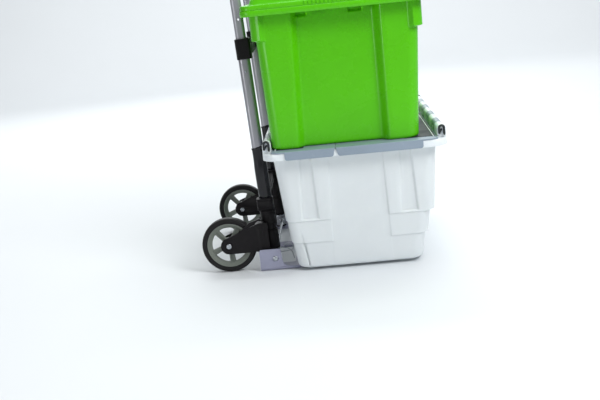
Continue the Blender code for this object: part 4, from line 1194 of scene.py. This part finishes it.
def make_hinge():
    _, high = lean_box("hinge_shaft")
    (x, _, z), (head_r, _, _) = lean_span("hinge_shaft")
    r, face = BOLT_R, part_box("toe_plate")[1].y + GAP
    head = high.y - face
    right = [(head_r * 0.30, -high.y + head * 0.15), (head_r * 0.55, -high.y),
             (head_r * 0.82, -high.y + head * 0.22), (head_r, -face - head * 0.25),
             (head_r, -face), (r, -face)]
    piece("hinge_shaft", solid_turned("shaft", mirrored(right), 32), "zinc_steel", 50, leaning=True,
          place=at(x, 0, z))
    for side_name, _ in SIDES:
        node = f"hinge_spacer_{side_name}"
        (_, y, _), (outer, half, _) = lean_span(node)
        piece(node, ring_mesh("spacer", r + GAP, outer, half, 0.0006), "black_plastic",
              leaning=True, place=at(x, y, z))


def make_torsion_spring(side_name, side):
    """Coil on the hinge shaft. One leg hooks the plate's edge, and a hairpin loop stands free."""
    wire_r, coil_r, turns, per_turn = 0.00098, 0.0068, 4.5, 24
    first_y, pitch = 0.1420, 0.0022
    x, z = TOE_HINGE.x, TOE_HINGE.z
    leg = [(0.0440, 0.0062), (0.0432, 0.0125), (0.0405, 0.0230), (0.0330, 0.0305),
           (0.0230, 0.0338), (0.0130, 0.0350)]
    points = smooth_path([(px, side * first_y, pz) for px, pz in leg], 4)
    count = int(turns * per_turn)
    last_y = side * (first_y - pitch * turns)
    for i in range(count + 1):
        angle = math.pi / 2 + 2 * math.pi * i / per_turn
        y = side * (first_y - pitch * i / per_turn)
        points.append((x + coil_r * math.cos(angle), y, z + coil_r * math.sin(angle)))
    loop_x, loop_z, loop_r = 0.0360, 0.0310, 0.0075
    loop = [(x + 0.009, z - coil_r)] + arc((loop_x, loop_z), loop_r, -90, 90, 10)
    loop += [(0.0260, loop_z + loop_r - 0.0003), (0.0218, loop_z + loop_r - 0.0030),
             (0.0207, loop_z)]
    points += smooth_path([(px, last_y, pz) for px, pz in loop], 3)
    piece(f"torsion_spring_{side_name}", tube_mesh("spring", points, wire_r, 12), "zinc_steel", 60)


# ---- wheels and the arms that carry them ---------------------------------------------------------
TYRE_SEAT_R = 0.0514                    # inner radius of the tyre


def make_wheel_arm(side_name, side):
    """A fork round the wheel, on a knuckle that swings about the upright's bearing."""
    node = f"wheel_arm_{side_name}"
    x, _, z = TO_LEAN @ AXLE
    _, high = lean_box(node)
    boss_r, wall, inside = 0.019, 0.004, 0.0145
    knuckle_r, bore_r, pillar_r = high.x, 0.0148, 0.0118
    centre_y = [side * (TRACK_Y + k * (inside + wall / 2)) for k in (-1, 1)]
    outline = rounded(
        arc((x, z), boss_r, 112, 264, 16) + [
            (-0.0600, 0.0470), (-0.0040, 0.0462), (-0.0020, 0.1110), (-0.0220, 0.1130)],
        [0] * 17 + [0.020, 0.006, 0, 0.006])
    plate = flat_mesh("plate", [outline, circle(BOLT_BORE_R, (x, z), 20)], wall)
    arm = new_object(f"{node}_detail", plate.copy())
    arm.data.transform(at(0, centre_y[1], 0) @ STAND_IN_XZ)
    join(arm, plate, at(0, centre_y[0], 0) @ STAND_IN_XZ)
    for outer_r, inner_r, thick in ((boss_r - 0.0015, boss_r - 0.0032, 0.0012),
                                    (0.0088, 0.0070, 0.0014)):
        ring = flat_mesh("ring", [circle(outer_r, (x, z)), circle(inner_r, (x, z))], thick)
        join(arm, ring, at(0, centre_y[1] + side * wall / 2, 0) @ STAND_IN_XZ)
    inner_edge = abs(centre_y[0]) - wall / 2 - UPRIGHT_Y + 0.0004
    outer_edge = abs(centre_y[1]) + wall / 2 - UPRIGHT_Y
    span = sorted((side * inner_edge, side * outer_edge))
    join(arm, box_mesh("bridge", (-0.0310, span[0], 0.0478), (-0.0105, span[1], 0.1105)),
         at(0, side * UPRIGHT_Y, 0))
    brace = flat_mesh("brace", [[(-0.0660, 0.0955), (-0.0170, 0.1205), (-0.0170, 0.1235),
                                 (-0.0440, 0.1158), (-0.0670, 0.0975)]], 0.0060, 0.0006)
    join(arm, brace, at(0, centre_y[1] - side * 0.0011, 0) @ STAND_IN_XZ)
    pillar = circle(pillar_r, (-0.0215, side * (outer_edge - pillar_r + 0.0012)))
    for outline, low_z, high_z, bevel, steps in (
            (pillar, 0.0440, 0.1010, 0.0012, 3), (circle(knuckle_r), 0.0960, high.z, 0.0008, 2),
            (circle(knuckle_r - 0.0005), 0.0427, 0.0880, 0.0008, 2)):
        join(arm, raised("post", [outline], low_z, high_z, side * UPRIGHT_Y, bevel, steps))
    cut(arm, flat_mesh("bore", [circle(bore_r)], 0.130), at(0, side * UPRIGHT_Y, 0.090))
    band = flat_mesh("band", [circle(knuckle_r + 0.002), circle(knuckle_r - 0.0007)], 0.0012)
    for band_z in (0.1030, 0.1270):
        cut(arm, band, at(0, side * UPRIGHT_Y, band_z))
    soften(arm, 0.0006, 2, 30)
    dress(arm, node, "black_plastic", 40, leaning=True)


def make_axle(side_name, side):
    node = f"axle_bolt_{side_name}"
    low, high = lean_box(node)
    axle = TO_LEAN @ AXLE
    r, head_r, head = BOLT_R, (high.z - low.z) / 2, 0.0036
    tip, face = (low.y, high.y) if side > 0 else (high.y, low.y)
    profile = [(r - 0.0006, tip), (r, tip + side * 0.0008)]
    profile += [
        (radius, face - side * back) for radius, back in (
            (r, head), (head_r, head), (head_r, head * 0.45), (head_r * 0.90, head * 0.14),
            (head_r * 0.72, 0.0), (head_r * 0.50, 0.0), (head_r * 0.44, 0.0012))
    ]
    piece(node, solid_turned("bolt", profile, 36), "zinc_steel", 40, leaning=True,
          place=at(axle.x, 0, axle.z))
    node = f"axle_nut_{side_name}"
    (_, y, _), (outer, half, _) = lean_span(node)
    nut = flat_mesh("nut", [circle(outer, steps=6), circle(r + GAP, steps=24)], 2 * half, 0.0004)
    piece(node, nut, "zinc_steel", 35, leaning=True, place=at(axle.x, y, axle.z) @ STAND_IN_XZ)


def make_tyre(side_name, side):
    node = f"tyre_{side_name}"
    r, half, _ = middle_and_half(*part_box(node))[1]
    shoulder = arc((r - 0.0058, half - 0.0050), 0.0050, 0, 70, 6)
    profile = [(r, 0.0), (r - 0.0002, half * 0.25)]
    profile += [(x + 0.0006 * (1 - i / 6), y) for i, (x, y) in enumerate(shoulder)]
    profile += [(r - 0.0068, half - 0.0004), (r - 0.0074, half - 0.0010),
                (r - 0.0082, half - 0.0006), (TYRE_SEAT_R + 0.0009, half - 0.0010),
                (TYRE_SEAT_R, half - 0.0018)]
    piece(node, turned_mesh("tyre", mirrored(profile), 96), "tyre_rubber", 50,
          place=at(AXLE.x, side * TRACK_Y, AXLE.z))


def spoke_window(first_deg, last_deg, r_in, r_out):
    """A window between two parallel-sided spokes, its corners rounded."""
    outer = arc((0, 0), r_out, first_deg + 4, last_deg - 4, 10)
    inner = arc((0, 0), r_in, last_deg - 14, first_deg + 14, 6)
    radii = [0.0035] + [0] * 9 + [0.0035, 0.003] + [0] * 5 + [0.003]
    return rounded(outer + inner, radii, 4)


def make_hub(side_name, side):
    """Rim with a thin bright lip round a deep dish, five channelled spokes and a boss."""
    node = f"wheel_hub_{side_name}"
    rim_r, bore_r, half = 0.0512, 0.0078, 0.0105
    face = [(rim_r, half - 0.0012), (rim_r - 0.0004, half + 0.0002),
            (rim_r - 0.0022, half + 0.0002), (rim_r - 0.0026, half - 0.0004),
            (rim_r - 0.0029, half - 0.0032), (rim_r - 0.0038, half - 0.0036),
            (rim_r - 0.0102, half - 0.0078)]
    hub = new_object(f"{node}_detail", turned_mesh("rim", mirrored(face), 96))
    step, start, half_spoke = 72, 131, 5.5
    spokes = [start + step * k for k in range(5)]
    windows = [spoke_window(a + half_spoke, a + step - half_spoke, 0.0170, 0.0405) for a in spokes]
    disc = flat_mesh("disc", [circle(0.0432, steps=96), circle(bore_r), *windows], 0.0046, 0.0006)
    join(hub, disc, STAND_IN_XZ)
    for angle in spokes:
        for y in (-0.0040, 0.0040):
            rib = box_mesh("rib", (0.0120, y - 0.0009, -0.0055), (0.0425, y + 0.0009, 0.0055))
            join(hub, rib, STAND_IN_XZ @ Matrix.Rotation(math.radians(angle), 4, "Z"))
    join(hub, flat_mesh("boss", [circle(0.0140), circle(bore_r)], 2 * half, 0.0010), STAND_IN_XZ)
    place = at(AXLE.x, side * TRACK_Y, AXLE.z)
    hub.data.transform(place)
    dress(hub, node, "grey_plastic", 35)
    bush = f"wheel_bush_{side_name}"
    r, reach, _ = middle_and_half(*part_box(bush))[1]
    piece(bush, ring_mesh("bush", BOLT_BORE_R, r, reach, 0.0005), "zinc_steel", 40, place=place)


# ---- build ------------------------------------------------------------------------------------
make_tub()
make_tub_lid()
make_crate()
for name, end in ENDS:
    make_leaf(name, end)
    make_hinge_rod(name)
for side_name, side in SIDES:
    make_tubes(side_name, side)
    make_stop_rivet(side_name, side)
    make_sleeve(side_name, side)
    make_pivot(side_name, side)
    make_collar(side_name, side)
    make_torsion_spring(side_name, side)
    make_wheel_arm(side_name, side)
    make_axle(side_name, side)
    make_tyre(side_name, side)
    make_hub(side_name, side)
make_lower_crossbar()
make_upper_crossbar()
make_button_spring()
make_handle()
make_toe_plate()
make_hinge()

CARRIED_OVER = {
    "foot_plug": "black_plastic", "inner_tube_plug": "black_plastic", "latch_rod": "zinc_steel",
}
for node, obj in frame["nodes"].items():
    for stem, slot in CARRIED_OVER.items():
        if node.startswith(stem):
            obj.data.materials.clear()
            obj.data.materials.append(FINISHES[slot])


# ---- the studio ---------------------------------------------------------------------------------
def studio_finish(name, colour, roughness):
    made, tree, inputs, coords = new_material(name)
    tone = spread(tree, noise(tree, coords, 1.5, 2.0), 0.0, 1.0)
    near = tuple(c * 0.985 for c in colour)
    tree.links.new(mixed(tree, tone, near, colour), inputs["Base Color"])
    inputs["Roughness"].default_value = roughness
    return made


def make_floor():
    """A pale floor that rises behind into the backdrop in one sweep."""
    half, back, sweep_r = 6.0, 4.0, 1.5
    line = [(-half, 0.0)]
    line += [(back + x, sweep_r + z) for x, z in arc((0, 0), sweep_r, -90, 0, 16)]
    line.append((back + sweep_r, 6.0))
    bm = bmesh.new()
    rows = [[bm.verts.new((x, y, z - 0.0002)) for y, z in line] for x in (-8.0, 8.0)]
    for i in range(len(line) - 1):
        bm.faces.new((rows[0][i], rows[1][i], rows[1][i + 1], rows[0][i + 1]))
    floor = new_object("studio_floor", to_mesh(bm, bpy.data.meshes.new("studio_floor")))
    floor.data.shade_smooth()
    floor.data.materials.append(studio_finish("studio_white", (0.66, 0.69, 0.71), 0.75))


def soft_light(name, place, target, size, power):
    lamp = bpy.data.lights.new(name, "AREA")
    lamp.shape = "RECTANGLE"
    lamp.size, lamp.size_y = size
    lamp.energy = power
    obj = new_object(name, lamp)
    obj.location = place
    obj.rotation_euler = (Vector(target) - Vector(place)).to_track_quat("-Z", "Y").to_euler()


def make_world():
    world = bpy.data.worlds.new("studio_air")
    bpy.context.scene.world = world
    world.use_nodes = True
    background = world.node_tree.nodes["Background"]
    background.inputs["Color"].default_value = (0.95, 0.97, 1.0, 1.0)
    background.inputs["Strength"].default_value = 0.32


def make_camera():
    """Low, a little from the front, and tilted as the trolley stands on a slope in the view."""
    azimuth, elevation, roll = map(math.radians, (2.86, 13.11, 5.93))
    distance, focal, sensor = 2.3086, 55.84, 36.0
    target = Vector((0.064, 0.0, 0.1113))
    back = Vector((math.sin(azimuth) * math.cos(elevation),
                   -math.cos(azimuth) * math.cos(elevation), math.sin(elevation)))
    level = (-back).cross(Vector((0, 0, 1))).normalized()
    upright = level.cross(-back)
    right = level * math.cos(roll) - upright * math.sin(roll)
    up = level * math.sin(roll) + upright * math.cos(roll)
    data = bpy.data.cameras.new("studio_camera")
    data.lens, data.sensor_width = focal, sensor
    camera = new_object("studio_camera", data)
    matrix = Matrix((right, up, back)).transposed().to_4x4()
    matrix.translation = target + back * distance
    camera.matrix_world = matrix
    bpy.context.scene.camera = camera


make_floor()
make_world()
make_camera()
MIDDLE = (0.10, 0.0, 0.35)
soft_light("key", (1.5, -1.5, 1.8), MIDDLE, (0.9, 1.0), 38)
soft_light("top", (0.8, -0.2, 3.2), MIDDLE, (2.4, 2.2), 60)
soft_light("strip", (-1.75, -2.45, 0.52), MIDDLE, (0.80, 0.95), 14)
soft_light("back", (-0.6, 3.2, 1.8), MIDDLE, (3.0, 1.6), 26)
soft_light("sweep", (0.0, 2.4, 5.0), (0.0, 5.0, 1.2), (6.0, 1.5), 260)
bpy.context.scene.view_settings.view_transform = "Standard"
